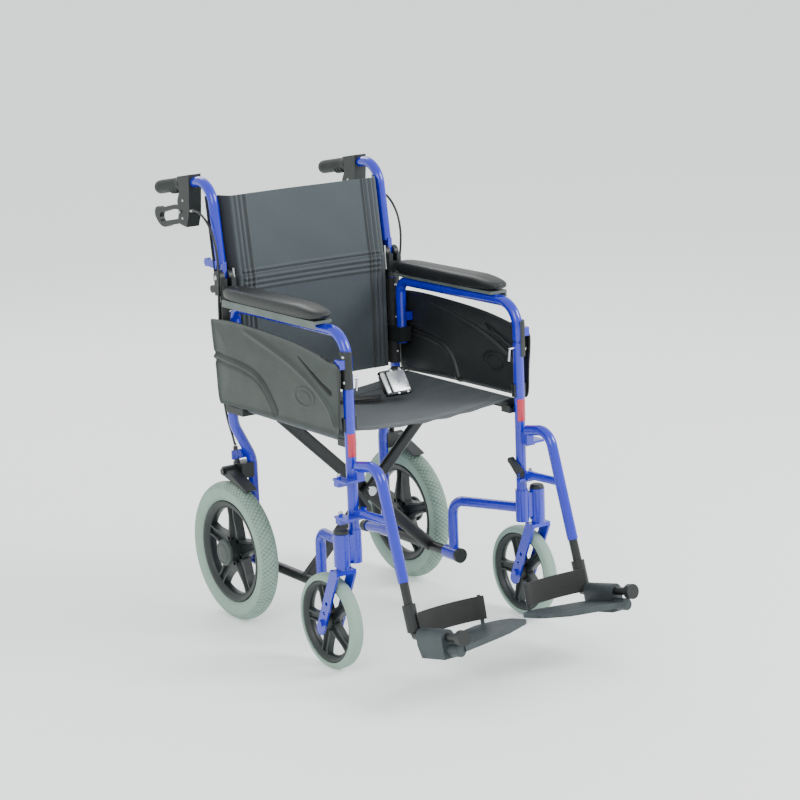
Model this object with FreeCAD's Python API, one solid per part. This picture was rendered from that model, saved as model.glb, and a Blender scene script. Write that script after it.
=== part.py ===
import FreeCAD, Part
import math
import os

# Folding transport wheelchair, millimetres.
# +X is the occupant's left, -Y is forwards, +Z is up. The origin is on the floor, at the
# centre of the chair's overall width and length. Every left-hand piece is mirrored for the right.

V = FreeCAD.Vector
X_AXIS, Y_AXIS, Z_AXIS = V(1, 0, 0), V(0, 1, 0), V(0, 0, 1)

# Driving dimensions -------------------------------------------------------------------------
SIDE_X = 211.0            # uprights, back canes, hangers and armrests
LOWER_X = 170.0           # the side frame's lower part stands further inboard
FRONT_Y = -180.0          # front upright
REAR_Y = 258.0            # rear post and rear axle
TUBE_R = 11.0             # frame tube
SEAT_TUBE_R = 11.0

REAR_WHEEL_X, REAR_WHEEL_R = 223.0, 150.0
REAR_TYRE_R = 22.0        # section radius
REAR_RIM_R, REAR_RIM_INNER_R = 110.0, 92.0
REAR_AXLE_R = 6.0
CASTER_X, CASTER_R = 246.0, 97.5
CASTER_STEM_Y, CASTER_AXLE_Y = -186.0, -137.5
CASTER_RIM_R, CASTER_RIM_INNER_R = 84.0, 70.0
CASTER_TYRE_W = 29.0
STEM_R = 6.0
SPOKES = 5

PIVOT_X, PIVOT_Z = 167.0, 119.0      # lower pivots of the folding cross
CROSS_Z = 278.0                      # where the two arms cross
RAIL_X = 203.0                       # seat rails
RAIL_REAR_Y = 208.0                  # short of the armrest's rear leg, which it passes when folding
CROSS_Y = 80.0
BEARING_FRONT, BEARING_REAR = 30.0, 214.0    # facing ends of the lower pivot bearings
BAR_W, BAR_T = 27.0, 14.0            # flat-oval arm section
LOWER_RAIL_R = 11.0                  # black sleeve turning on the frame's pivot shaft
PIVOT_R = 7.5
FOLD_SLOPE = (CROSS_Z - PIVOT_Z) / PIVOT_X
RAIL_Z = CROSS_Z + RAIL_X * FOLD_SLOPE

RUN_GAP = 0.06            # radial clearance of a running fit
SOFT_GAP = 0.4            # clearance round soft pieces

HINGE_Y, HINGE_Z = 270.0, 738.0      # folding joint of each back cane
HANDLE_CORNER = V(SIDE_X, 297.5, 938.5)
HANDLE_END = V(SIDE_X, 511.0, 905.0)
HANDLE_WAY = (HANDLE_END - HANDLE_CORNER).normalize()
CANE_FOOT = V(SIDE_X, 274.0, 764.0)
RELEASE_Y, RELEASE_Z = 285.0, 712.0  # pivot of the hinge's release lever

ARM_TOP_Z = 681.0         # armrest tube centre
ARM_REAR_Y = 227.0        # armrest rear leg
ARM_SPLIT_Z = 606.0       # joint between the upright and the armrest's front leg
SPIGOT_R, SPIGOT_L = 8.0, 62.0
PIN_R, PIN_Z = 2.5, 590.0            # spring pin that locks the armrest
PANEL_X, PANEL_T = 236.0, 4.0

SWING_X, SWING_Y = 239.0, -176.0     # hanger swing pins, outboard of the upright
SWING_PIN_R = 4.0
UPPER_LUG_Z, LOWER_LUG_Z, LUG_H = 380.0, 304.0, 11.0
LATCH_Y, LATCH_Z = -202.0, 330.0     # pivot of the latch lever, inboard of the upright
HANGER_BEND = V(SIDE_X, -273.0, 432.0)
HANGER_FOOT = V(SIDE_X, -342.0, 217.0)
EXTENSION_R = 9.0
FOOT_X = 208.0            # footplate hinge axis
FOOT_Y, FOOT_Z = -385.0, 122.0
FOOT_TILT = math.radians(12.0)
FOOT_AXLE_R, FOOT_SLEEVE_R = 8.0, 15.0
PLATE_DROP, PLATE_T = 30.0, 11.0     # the tread hangs below the hinge axis
PLATE_LEAN = 0.056        # rise of the tread towards the centre, per millimetre
PLATE_INNER_X = 15.0      # inner edge of each footplate, from the centre plane
HEEL_POST_X = 58.0
BUCKLE_AT = V(60, 44, 508)
BUCKLE_LEAN, BUCKLE_TURN = 53.0, -4.0

BRAKE_X = (204.0, 232.0)             # inner and outer faces of the brake shoe
BRAKE_Y, BRAKE_Z = REAR_Y + 16, 322.0     # brake arm pivot
CABLE_R = 2.5
CABLE_ROUTE = (
    (222, 366, 868), (226, 338, 872), (230, 309, 866), (232, 281, 850), (233, 259, 822),
    (233, 249, 786), (232, 250, 748), (230, 257, 710), (229, 262, 668), (228.5, 263, 620),
    (228.5, 264, 570), (228, 265, 520), (225, 268, 470), (217, 271, 430), (208, 270, 398),
    (205, 267, 376),
)

nodes = {}


# Shape helpers ------------------------------------------------------------------------------
def rod(start, end, radius):
    """A solid cylinder from one point to another."""
    span = end - start
    return Part.makeCylinder(radius, span.Length, start, span)


def ring(start, end, outer, inner):
    """A straight sleeve."""
    return rod(start, end, outer).cut(rod(start, end, inner))


def block(x, y, z):
    """A box from (low, high) pairs."""
    return Part.makeBox(x[1] - x[0], y[1] - y[0], z[1] - z[0], V(x[0], y[0], z[0]))


def fuse(shapes):
    """One solid from touching shapes."""
    return shapes[0].multiFuse(shapes[1:]).removeSplitter()


def path_wire(points, radii):
    """Straight runs joined by tangent arcs, with one radius for each inner point."""
    edges = []
    last = points[0]
    for before, corner, after, radius in zip(points, points[1:], points[2:], radii):
        back = (before - corner).normalize()
        ahead = (after - corner).normalize()
        half = back.getAngle(ahead) / 2
        reach = radius / math.tan(half)
        middle = (back + ahead).normalize()
        start, end = corner + back * reach, corner + ahead * reach
        nearest = corner + middle * (radius / math.sin(half) - radius)
        edges.append(Part.LineSegment(last, start).toShape())
        edges.append(Part.Arc(start, nearest, end).toShape())
        last = end
    edges.append(Part.LineSegment(last, points[-1]).toShape())
    return Part.Wire(edges)


def sweep(points, radii, radius):
    """A round bar along a path."""
    wire = path_wire(points, radii)
    circle = Part.Circle(points[0], points[1] - points[0], radius)
    return wire.makePipeShell([Part.Wire(circle.toShape())], True, False)


def outline(points):
    """A closed wire from points, where ("arc", middle, end) bends the next edge."""
    edges = []
    here = points[0]
    for step in points[1:] + [points[0]]:
        if isinstance(step, tuple):
            edges.append(Part.Arc(here, step[1], step[2]).toShape())
            here = step[2]
        elif (step - here).Length > 1e-6:
            edges.append(Part.LineSegment(here, step).toShape())
            here = step
    return Part.Wire(edges)


def plate(points, thickness):
    """An outline pushed out along a vector."""
    return Part.Face(outline(points)).extrude(thickness)


def mirrored(shape):
    return shape.mirror(V(0, 0, 0), X_AXIS)


def pair(name, solids):
    """Add a left-hand node and its mirror image for the right-hand side."""
    nodes[name + "_left"] = solids
    nodes[name + "_right"] = [mirrored(s) for s in solids]


# Side frame ---------------------------------------------------------------------------------
def side_frame():
    upright = rod(V(SIDE_X, FRONT_Y, 230), V(SIDE_X, FRONT_Y, 600), TUBE_R)
    bore = rod(V(SIDE_X, FRONT_Y, 600 - SPIGOT_L), V(SIDE_X, FRONT_Y, 600), SPIGOT_R + RUN_GAP)
    sleeve = rod(V(SIDE_X, FRONT_Y, 222), V(SIDE_X, FRONT_Y, 290), 14)
    housing = rod(V(CASTER_X, CASTER_STEM_Y, 222), V(CASTER_X, CASTER_STEM_Y, 288), 16.5)
    stem_bore = rod(V(CASTER_X, CASTER_STEM_Y, 222), V(CASTER_X, CASTER_STEM_Y, 272), STEM_R + RUN_GAP)
    web = block((SIDE_X + 8, CASTER_X - 10), (CASTER_STEM_Y - 5, FRONT_Y + 4), (230, 282))
    front_rail = sweep([V(SIDE_X, FRONT_Y + 6, 250), V(LOWER_X, 7, 236), V(LOWER_X, 7, PIVOT_Z)],
                       [32], TUBE_R)
    front_bearing = rod(V(PIVOT_X, -14, PIVOT_Z), V(PIVOT_X, BEARING_FRONT, PIVOT_Z), 15)
    post = sweep([V(SIDE_X, REAR_Y, 700), V(SIDE_X, REAR_Y, 425), V(LOWER_X, REAR_Y, 345),
                  V(LOWER_X, REAR_Y, PIVOT_Z)], [70, 70], TUBE_R)
    rear_bearing = rod(V(PIVOT_X, BEARING_REAR, PIVOT_Z), V(PIVOT_X, REAR_Y + 6, PIVOT_Z), 15)
    tipping = rod(V(PIVOT_X, REAR_Y, PIVOT_Z - 1), V(PIVOT_X, 326, PIVOT_Z - 8), TUBE_R)
    pivot_shaft = rod(V(PIVOT_X, BEARING_FRONT, PIVOT_Z), V(PIVOT_X, BEARING_REAR, PIVOT_Z), PIVOT_R)
    axle = rod(V(LOWER_X, REAR_Y, REAR_WHEEL_R), V(REAR_WHEEL_X + 24, REAR_Y, REAR_WHEEL_R), REAR_AXLE_R)
    axle_boss = rod(V(LOWER_X, REAR_Y, REAR_WHEEL_R), V(LOWER_X + 22, REAR_Y, REAR_WHEEL_R), 13)
    pin_hole = rod(V(SIDE_X - 20, FRONT_Y, PIN_Z), V(SIDE_X, FRONT_Y, PIN_Z), PIN_R + RUN_GAP)
    solids = [upright, sleeve, housing, web, front_rail, front_bearing, post, rear_bearing,
              pivot_shaft, tipping, axle, axle_boss]
    for z in (UPPER_LUG_Z, LOWER_LUG_Z):
        solids.append(block((SIDE_X + 6, SWING_X + 7), (SWING_Y - 8, SWING_Y + 8), (z, z + LUG_H)))
        pin_foot = V(SWING_X, SWING_Y, z + LUG_H)
        solids.append(rod(pin_foot, pin_foot + Z_AXIS * 12, SWING_PIN_R))
    solids.append(block((LOWER_X + 2, SIDE_X + 4), (REAR_Y + 6, REAR_Y + 10), (346, 366)))
    whole = fuse(solids)
    return whole.cut(bore).cut(stem_bore).cut(pin_hole)


def frame_fittings(frame):
    """Black plastic pieces pressed on the side frame."""
    caster_cap = rod(V(CASTER_X, CASTER_STEM_Y, 288), V(CASTER_X, CASTER_STEM_Y, 296), 15)
    caster_cap = caster_cap.makeFillet(5, [caster_cap.Edges[0]])
    rail_cap = rod(V(PIVOT_X, -22, PIVOT_Z), V(PIVOT_X, -14, PIVOT_Z), 16)
    tip_end = V(PIVOT_X, 326, PIVOT_Z - 8)
    tip_way = (tip_end - V(PIVOT_X, REAR_Y, PIVOT_Z - 1)).normalize()
    tip_cap = rod(tip_end, tip_end + tip_way * 16, 13)
    clip = ring(V(SIDE_X, FRONT_Y, 488), V(SIDE_X, FRONT_Y, 514), 15.5, TUBE_R)
    clip = clip.cut(block((SIDE_X - 20, SIDE_X + 20), (FRONT_Y - 20, FRONT_Y - 3), (480, 520)))
    rail_space = rod(V(RAIL_X, FRONT_Y, RAIL_Z), V(RAIL_X, REAR_Y + 20, RAIL_Z), SEAT_TUBE_R + 0.8)
    front_saddle = block((RAIL_X - 12, SIDE_X + 6), (FRONT_Y + 8, FRONT_Y + 36), (RAIL_Z - 18, RAIL_Z - 3))
    rear_saddle = block((RAIL_X - 12, SIDE_X + 15), (RAIL_REAR_Y - 14, REAR_Y + 4),
                        (RAIL_Z - 18, RAIL_Z - 3))
    socket = block((SIDE_X - 14, SIDE_X + 14), (ARM_REAR_Y - 14, REAR_Y + 13), (546, 578))
    leg = rod(V(SIDE_X, ARM_REAR_Y, 540), V(SIDE_X, ARM_REAR_Y, 580), TUBE_R + RUN_GAP)
    fitted = [front_saddle.cut(rail_space), rear_saddle.cut(rail_space), socket.cut(leg)]
    return [caster_cap, rail_cap, tip_cap, clip] + [s.cut(frame) for s in fitted]


# Folding cross ------------------------------------------------------------------------------
def cross_arm(lane_y):
    """Lower rail on the right, a flat-oval arm up to the seat rail on the left, welded together."""
    foot, head = V(-PIVOT_X, lane_y, PIVOT_Z), V(RAIL_X, lane_y, RAIL_Z)
    along = (head - foot).normalize()
    across = along.cross(Y_AXIS).normalize()
    half_w, half_t = BAR_W / 2 - BAR_T / 2, BAR_T / 2
    lower, upper = foot - across * half_w, foot + across * half_w
    down, up = lower - across * half_t, upper + across * half_t
    side = Y_AXIS * half_t
    section = outline([lower - side, ("arc", down, lower + side), upper + side, ("arc", up, upper - side)])
    arm = Part.Face(section).extrude(head - along * 5 - foot)
    front, back = BEARING_FRONT + 0.5, BEARING_REAR - 0.5
    lower_rail = rod(V(-PIVOT_X, front, PIVOT_Z), V(-PIVOT_X, back, PIVOT_Z), LOWER_RAIL_R)
    shaft_bore = rod(V(-PIVOT_X, front, PIVOT_Z), V(-PIVOT_X, back, PIVOT_Z), PIVOT_R + RUN_GAP)
    seat_rail = rod(V(RAIL_X, FRONT_Y + 17, RAIL_Z), V(RAIL_X, RAIL_REAR_Y, RAIL_Z), SEAT_TUBE_R)
    return fuse([arm, lower_rail, seat_rail]).cut(shaft_bore)


def folding_cross():
    """Two arms side by side on one bolt. Arm a rises to the left rail, arm b to the right."""
    lane = BAR_T / 2 + 1.0
    bolt_r = 5.0
    hole = rod(V(0, CROSS_Y - 40, CROSS_Z), V(0, CROSS_Y + 40, CROSS_Z), bolt_r)
    wide_hole = rod(V(0, CROSS_Y - 40, CROSS_Z), V(0, CROSS_Y + 40, CROSS_Z), bolt_r + RUN_GAP)
    nodes["cross_arm_a"] = [cross_arm(CROSS_Y - lane).cut(hole)]
    nodes["cross_arm_b"] = [mirrored(cross_arm(CROSS_Y + lane)).cut(wide_hole)]
    front, back = CROSS_Y - 2 * lane + 1, CROSS_Y + 2 * lane - 1
    shank = rod(V(0, front, CROSS_Z), V(0, back, CROSS_Z), bolt_r)
    head = rod(V(0, front - 7, CROSS_Z), V(0, front, CROSS_Z), 10)
    nut = rod(V(0, back + 0.3, CROSS_Z), V(0, back + 8, CROSS_Z), 10)
    tip = rod(V(0, back, CROSS_Z), V(0, back + 2, CROSS_Z), bolt_r)
    nodes["cross_bolt"] = [fuse([shank, head, tip, nut])]


# Wheels -------------------------------------------------------------------------------------
def spoked_rim(x, y, z, outer, inner, width, hub_r, hub, spoke_w, spoke_t, bore_r):
    """A rim with flared spokes and a bored hub, on an axle along X."""
    centre = V(x, y, z)
    rim = ring(centre - X_AXIS * (width / 2), centre + X_AXIS * (width / 2), outer, inner)
    pieces = [rim, rod(V(hub[0], y, z), V(hub[1], y, z), hub_r)]
    for i in range(SPOKES):
        near, far = spoke_w
        low, high = hub_r * 0.8, inner + 2
        flank = x - spoke_t / 2
        spoke = plate([V(flank, y - near / 2, z + low), V(flank, y + near / 2, z + low),
                       V(flank, y + far / 2, z + high), V(flank, y - far / 2, z + high)],
                      X_AXIS * spoke_t)
        spoke.rotate(centre, X_AXIS, 360.0 * i / SPOKES)
        pieces.append(spoke)
    bore = rod(V(hub[0] - 1, y, z), V(hub[1] + 1, y, z), bore_r)
    return fuse(pieces).cut(bore)


def rear_wheel():
    centre = V(REAR_WHEEL_X, REAR_Y, REAR_WHEEL_R)
    torus = Part.makeTorus(REAR_WHEEL_R - REAR_TYRE_R, REAR_TYRE_R, centre, X_AXIS)
    seat = rod(centre - X_AXIS * 40, centre + X_AXIS * 40, REAR_RIM_R)
    pair("rear_tyre", [torus.cut(seat)])
    rim = spoked_rim(REAR_WHEEL_X, REAR_Y, REAR_WHEEL_R, REAR_RIM_R, REAR_RIM_INNER_R, 30.0,
                     28.0, (REAR_WHEEL_X - 24, REAR_WHEEL_X + 24), (36.0, 24.0), 20.0,
                     REAR_AXLE_R + RUN_GAP)
    face = REAR_WHEEL_X + 24
    cap = rod(V(face + 0.5, REAR_Y, REAR_WHEEL_R), V(face + 7, REAR_Y, REAR_WHEEL_R), 28.5)
    lip = ring(V(face, REAR_Y, REAR_WHEEL_R), V(face + 0.5, REAR_Y, REAR_WHEEL_R), 28.5, 20)
    cap = fuse([cap, lip])
    pair("rear_rim", [rim, cap])


def caster():
    centre = V(CASTER_X, CASTER_AXLE_Y, CASTER_R)
    half = CASTER_TYRE_W / 2
    tyre = ring(centre - X_AXIS * half, centre + X_AXIS * half, CASTER_R, CASTER_RIM_R)
    circles = [e for e in tyre.Edges if e.Curve.TypeId == "Part::GeomCircle"]
    rims = [e for e in circles if abs(e.Curve.Radius - CASTER_R) < 1e-6]
    pair("caster_tyre", [tyre.makeFillet(9.0, rims)])
    rim = spoked_rim(CASTER_X, CASTER_AXLE_Y, CASTER_R, CASTER_RIM_R, CASTER_RIM_INNER_R, 24.0,
                     17.0, (CASTER_X - 17, CASTER_X + 17), (22.0, 18.0), 14.0, 4.0 + RUN_GAP)
    pair("caster_rim", [rim])
    pair("caster_fork", caster_fork())


def caster_fork():
    """A bent flat bar with three axle holes in each leg, its stem and its axle bolt."""
    inner, thick, wide = 18.5, 5.0, 25.0
    crown_low, crown_high = 206.0, 214.0
    top = V(CASTER_X, CASTER_STEM_Y, crown_low)
    axle = V(CASTER_X, CASTER_AXLE_Y, CASTER_R)
    down = (axle - top).normalize()
    wide_way = X_AXIS.cross(down).normalize() * (wide / 2)
    end = axle + down * 16
    pieces = []
    for side in (-1, 1):
        x = X_AXIS * (side * inner)
        start = top - down * 6
        leg = plate([start + wide_way + x, end + wide_way + x,
                     ("arc", end + down * (wide / 2) + x, end - wide_way + x), start - wide_way + x],
                    X_AXIS * (side * thick))
        for step in (24, 48):
            spot = axle - down * step
            leg = leg.cut(rod(spot - X_AXIS * 40, spot + X_AXIS * 40, 4.0))
        pieces.append(leg)
    span = inner + thick
    crown = block((CASTER_X - span, CASTER_X + span), (CASTER_STEM_Y - 13, CASTER_STEM_Y + 13),
                  (crown_low, crown_high))
    pieces.append(crown)
    pieces.append(rod(V(CASTER_X, CASTER_STEM_Y, crown_high), V(CASTER_X, CASTER_STEM_Y, 221), 13))
    pieces.append(rod(V(CASTER_X, CASTER_STEM_Y, crown_high), V(CASTER_X, CASTER_STEM_Y, 270), STEM_R))
    pieces.append(rod(axle - X_AXIS * (span + 6), axle + X_AXIS * (span + 6), 4.0))
    for side in (-1, 1):
        pieces.append(rod(axle + X_AXIS * (side * span), axle + X_AXIS * (side * (span + 6)), 7.0))
    return [fuse(pieces)]


# Rear brake ---------------------------------------------------------------------------------

def brake():
    """A plastic block on the post, and an arm whose shoe presses on the top of the tyre."""
    holder = block((LOWER_X + 4, BRAKE_X[0] - 1), (REAR_Y - 12, REAR_Y + 24), (306, 338))
    post = rod(V(LOWER_X, REAR_Y, 280), V(LOWER_X, REAR_Y, 360), TUBE_R + 0.5)
    jog = sweep([V(SIDE_X, REAR_Y, 500), V(SIDE_X, REAR_Y, 425), V(LOWER_X, REAR_Y, 345),
                 V(LOWER_X, REAR_Y, 200)], [70, 70], TUBE_R)
    pin = rod(V(LOWER_X + 14, BRAKE_Y, BRAKE_Z), V(BRAKE_X[1] + 4, BRAKE_Y, BRAKE_Z), 4.0)
    pin_head = rod(V(BRAKE_X[1] + 1, BRAKE_Y, BRAKE_Z), V(BRAKE_X[1] + 5, BRAKE_Y, BRAKE_Z), 7.0)
    holder = fuse([holder.cut(post), pin, pin_head]).cut(jog)
    spring = ring(V(SIDE_X - 9, REAR_Y + 10, 338), V(SIDE_X - 9, REAR_Y + 10, 346), 6, 3)
    adjuster = rod(V(SIDE_X - 6, REAR_Y + 8, 366.0), V(SIDE_X - 6, REAR_Y + 8, 374.0), 5)
    pair("brake_bracket", [holder, spring, adjuster])
    hub = rod(V(BRAKE_X[0], BRAKE_Y, BRAKE_Z), V(BRAKE_X[1], BRAKE_Y, BRAKE_Z), 11)
    x = BRAKE_X[0]
    tyre_r = REAR_WHEEL_R + 4.0
    centre = V(x, REAR_Y, REAR_WHEEL_R)

    def on_tyre(angle, lift):
        """A point above the tyre, at an angle forwards of its top."""
        a = math.radians(angle)
        return centre + V(0, -math.sin(a), math.cos(a)) * (tyre_r + lift)

    arm = plate([V(x, BRAKE_Y + 6, BRAKE_Z + 9), V(x, BRAKE_Y + 6, BRAKE_Z - 9),
                 on_tyre(0, 3), ("arc", on_tyre(12, 0), on_tyre(24, 0)), on_tyre(26, 7),
                 ("arc", on_tyre(14, 9), on_tyre(4, 15))], X_AXIS * (BRAKE_X[1] - x))
    hole = rod(V(x - 1, BRAKE_Y, BRAKE_Z), V(BRAKE_X[1] + 1, BRAKE_Y, BRAKE_Z), 4.0 + RUN_GAP)
    pair("brake_shoe", [fuse([arm, hub]).cut(hole)])


# Back canes and handles ---------------------------------------------------------------------
def back_hinge():
    """Black folding joint: a fork on the lower cane, a tongue on the upper tube, one pin."""
    slot = 5.3
    low = 700.0
    body = fuse([block((SIDE_X - 16, SIDE_X + 16), (REAR_Y - 15, REAR_Y + 20), (low, HINGE_Z)),
                 rod(V(SIDE_X - 16, HINGE_Y - 4, HINGE_Z), V(SIDE_X + 16, HINGE_Y - 4, HINGE_Z), 15)])
    room = block((SIDE_X - slot, SIDE_X + slot), (REAR_Y - 30, REAR_Y + 40), (HINGE_Z - 17, HINGE_Z + 30))
    body = body.cut(room)
    pin = rod(V(SIDE_X - 18, HINGE_Y, HINGE_Z), V(SIDE_X + 18, HINGE_Y, HINGE_Z), 4.5)
    skirt = ring(V(SIDE_X, REAR_Y, low - 14), V(SIDE_X, REAR_Y, low), 14, TUBE_R)
    lever_x = SIDE_X - 12
    reach = rod(V(lever_x - 4, RELEASE_Y, RELEASE_Z), V(SIDE_X - 0.5, RELEASE_Y, RELEASE_Z), 2.5)
    ear = block((SIDE_X - 16, lever_x - 0.3), (HINGE_Y, RELEASE_Y + 7), (RELEASE_Z - 8, RELEASE_Z + 8))
    pair("back_hinge", [fuse([body, pin, skirt, reach, ear])])
    hub = rod(V(lever_x, RELEASE_Y, RELEASE_Z), V(SIDE_X - 1, RELEASE_Y, RELEASE_Z), 6)
    paddle = plate([V(lever_x, RELEASE_Y, RELEASE_Z - 5), V(lever_x, 312, 700),
                    ("arc", V(lever_x, 326, 704), V(lever_x, 314, 713)),
                    V(lever_x, RELEASE_Y, RELEASE_Z + 5)], X_AXIS * 11)
    hole = rod(V(lever_x - 1, RELEASE_Y, RELEASE_Z), V(SIDE_X, RELEASE_Y, RELEASE_Z), 2.5 + RUN_GAP)
    pair("back_release", [fuse([hub, paddle]).cut(hole)])


def upper_cane():
    """Blue tube from the folding joint up to the push handle, with its tongue."""
    tube = sweep([CANE_FOOT, HANDLE_CORNER, HANDLE_END], [52], TUBE_R)
    tongue = fuse([block((SIDE_X - 5, SIDE_X + 5), (HINGE_Y - 10, HINGE_Y + 10),
                         (HINGE_Z, CANE_FOOT.z + 6)),
                   rod(V(SIDE_X - 5, HINGE_Y, HINGE_Z), V(SIDE_X + 5, HINGE_Y, HINGE_Z), 10)])
    hole = rod(V(SIDE_X - 8, HINGE_Y, HINGE_Z), V(SIDE_X + 8, HINGE_Y, HINGE_Z), 4.5 + RUN_GAP)
    x = SIDE_X + 1
    stop = plate([V(x, 277, 754), V(x, 312, 757), ("arc", V(x, 326, 766), V(x, 310, 771)),
                  V(x, 276, 771)], X_AXIS * 9)
    pair("upper_cane", [fuse([tube, tongue, stop]).cut(hole)])


def on_handle(length, drop=0.0, x=SIDE_X):
    """A point measured back from the handle's end, and square down from its axis."""
    down = X_AXIS.cross(HANDLE_WAY).normalize()
    if down.z > 0:
        down = down * -1
    spot = HANDLE_END - HANDLE_WAY * length + down * drop
    return V(x, spot.y, spot.z)


def handle():
    """Rubber grip, brake housing and loop-shaped brake lever on the handle tube."""
    grip = rod(on_handle(104), on_handle(-4), 16.0)
    grip = grip.cut(rod(on_handle(104), HANDLE_END, TUBE_R))
    pair("grip", [grip])
    tube = rod(on_handle(170), HANDLE_END, TUBE_R)
    half = 15.0
    x = SIDE_X - half
    shell = plate([on_handle(154, -16.3, x), on_handle(105, -16.3, x), on_handle(105, 16, x),
                   on_handle(92, 34, x), on_handle(92, 84, x), on_handle(118, 92, x),
                   on_handle(134, 66, x), on_handle(148, 14, x)], X_AXIS * (2 * half))
    x = SIDE_X - 7
    jaw = plate([on_handle(118, 40, x), on_handle(80, 40, x), on_handle(80, 100, x),
                 on_handle(118, 100, x)], X_AXIS * 14)
    pin = rod(on_handle(102, 58, SIDE_X - half - 1), on_handle(102, 58, SIDE_X + half + 1), 3.5)
    pair("handle_housing", [fuse([shell.cut(tube).cut(jaw), pin])])
    x = SIDE_X - 6
    outer = plate([on_handle(107, 51, x), on_handle(60, 41, x), on_handle(-2, 44, x),
                   ("arc", on_handle(-27.4, 52, x), on_handle(-23.4, 66, x)),
                   ("arc", on_handle(-2, 84, x), on_handle(24, 84, x)), on_handle(86, 82, x),
                   on_handle(107, 72, x)], X_AXIS * 12)
    inner = plate([on_handle(78, 53, x - 1), on_handle(56, 50, x - 1), on_handle(4, 54, x - 1),
                   ("arc", on_handle(-8, 62, x - 1), on_handle(6, 73, x - 1)), on_handle(70, 72, x - 1)],
                  X_AXIS * 14)
    hole = rod(on_handle(102, 58, SIDE_X - 20), on_handle(102, 58, SIDE_X + 20), 3.5 + RUN_GAP)
    pair("brake_lever", [outer.cut(inner).cut(hole)])


# Armrest and side panel ---------------------------------------------------------------------
def armrest():
    foot = V(SIDE_X, FRONT_Y, ARM_SPLIT_Z)
    tube = sweep([V(SIDE_X, ARM_REAR_Y, 542), V(SIDE_X, ARM_REAR_Y, ARM_TOP_Z),
                  V(SIDE_X, FRONT_Y, ARM_TOP_Z), foot], [28, 52], TUBE_R)
    spigot = rod(foot + V(0, 0, 2), foot - V(0, 0, SPIGOT_L + 4), SPIGOT_R)
    tabs = [block((SIDE_X + 6, PANEL_X - PANEL_T / 2), (y - 9, y + 9), (z - 9, z + 9))
            for y, z in ((FRONT_Y, 622), (ARM_REAR_Y, 600))]
    frame = fuse([tube, spigot] + tabs)
    pair("armrest_frame", [frame])
    pad = block((191, 245), (-126, 240), (698.0, 727.0))
    pad = pad.makeFillet(12, [e for e in pad.Edges if min(v.Z for v in e.Vertexes) > 720])
    pair("armrest_pad", [pad])
    strip = block((197, 239), (-112, 232), (ARM_TOP_Z + TUBE_R, 698.0))
    skirt = block((235, 239), (-112, 232), (683, ARM_TOP_Z + TUBE_R))
    keeper = ring(V(SIDE_X, FRONT_Y, 573), V(SIDE_X, FRONT_Y, 646), 14.0, TUBE_R + 0.3)
    keeper = keeper.common(block((SIDE_X - 2, SIDE_X + 20), (FRONT_Y - 20, FRONT_Y + 8), (570, 650)))
    pair("armrest_trim", [fuse([strip, skirt]), keeper.cut(frame)])


def side_panel():
    """Moulded panel with a curved top, a ridge and an oval boss."""
    x = PANEL_X - PANEL_T / 2
    rim = [V(x, 286, 650), ("arc", V(x, 200, 657), V(x, 88, 652)), ("arc", V(x, -40, 644), V(x, -154, 625)),
           ("arc", V(x, -181, 618), V(x, -188, 592)), V(x, -178, 500),
           ("arc", V(x, -172, 485), V(x, -158, 482)), ("arc", V(x, 60, 486), V(x, 250, 481)),
           ("arc", V(x, 266, 483), V(x, 272, 498))]
    panel = plate(rim, X_AXIS * PANEL_T)
    ridge = plate([V(x, 134, 640), V(x, -46, 597), V(x, -158, 546), V(x, -150, 536), V(x, -40, 585),
                   V(x, 138, 628)], X_AXIS * (PANEL_T + 5))
    boss = Part.makeCylinder(1, PANEL_T + 5, V(0, 0, 0), X_AXIS)
    shape = FreeCAD.Matrix()
    shape.scale(1, 34, 19)
    boss = boss.transformGeometry(shape)
    boss.translate(V(x, -66, 541))
    pair("side_panel", [fuse([panel, ridge, boss])])


def armrest_pin():
    """Spring pin that locks the armrest's front leg, pulled inboard to let go."""
    tail_x = SIDE_X - 22
    shaft = rod(V(tail_x - 2, FRONT_Y, PIN_Z), V(SIDE_X - SPIGOT_R - 0.5, FRONT_Y, PIN_Z), PIN_R)
    tail = rod(V(tail_x, FRONT_Y, PIN_Z), V(tail_x, FRONT_Y + 4, PIN_Z - 26), PIN_R)
    pair("armrest_pin", [fuse([shaft, tail])])


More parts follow.
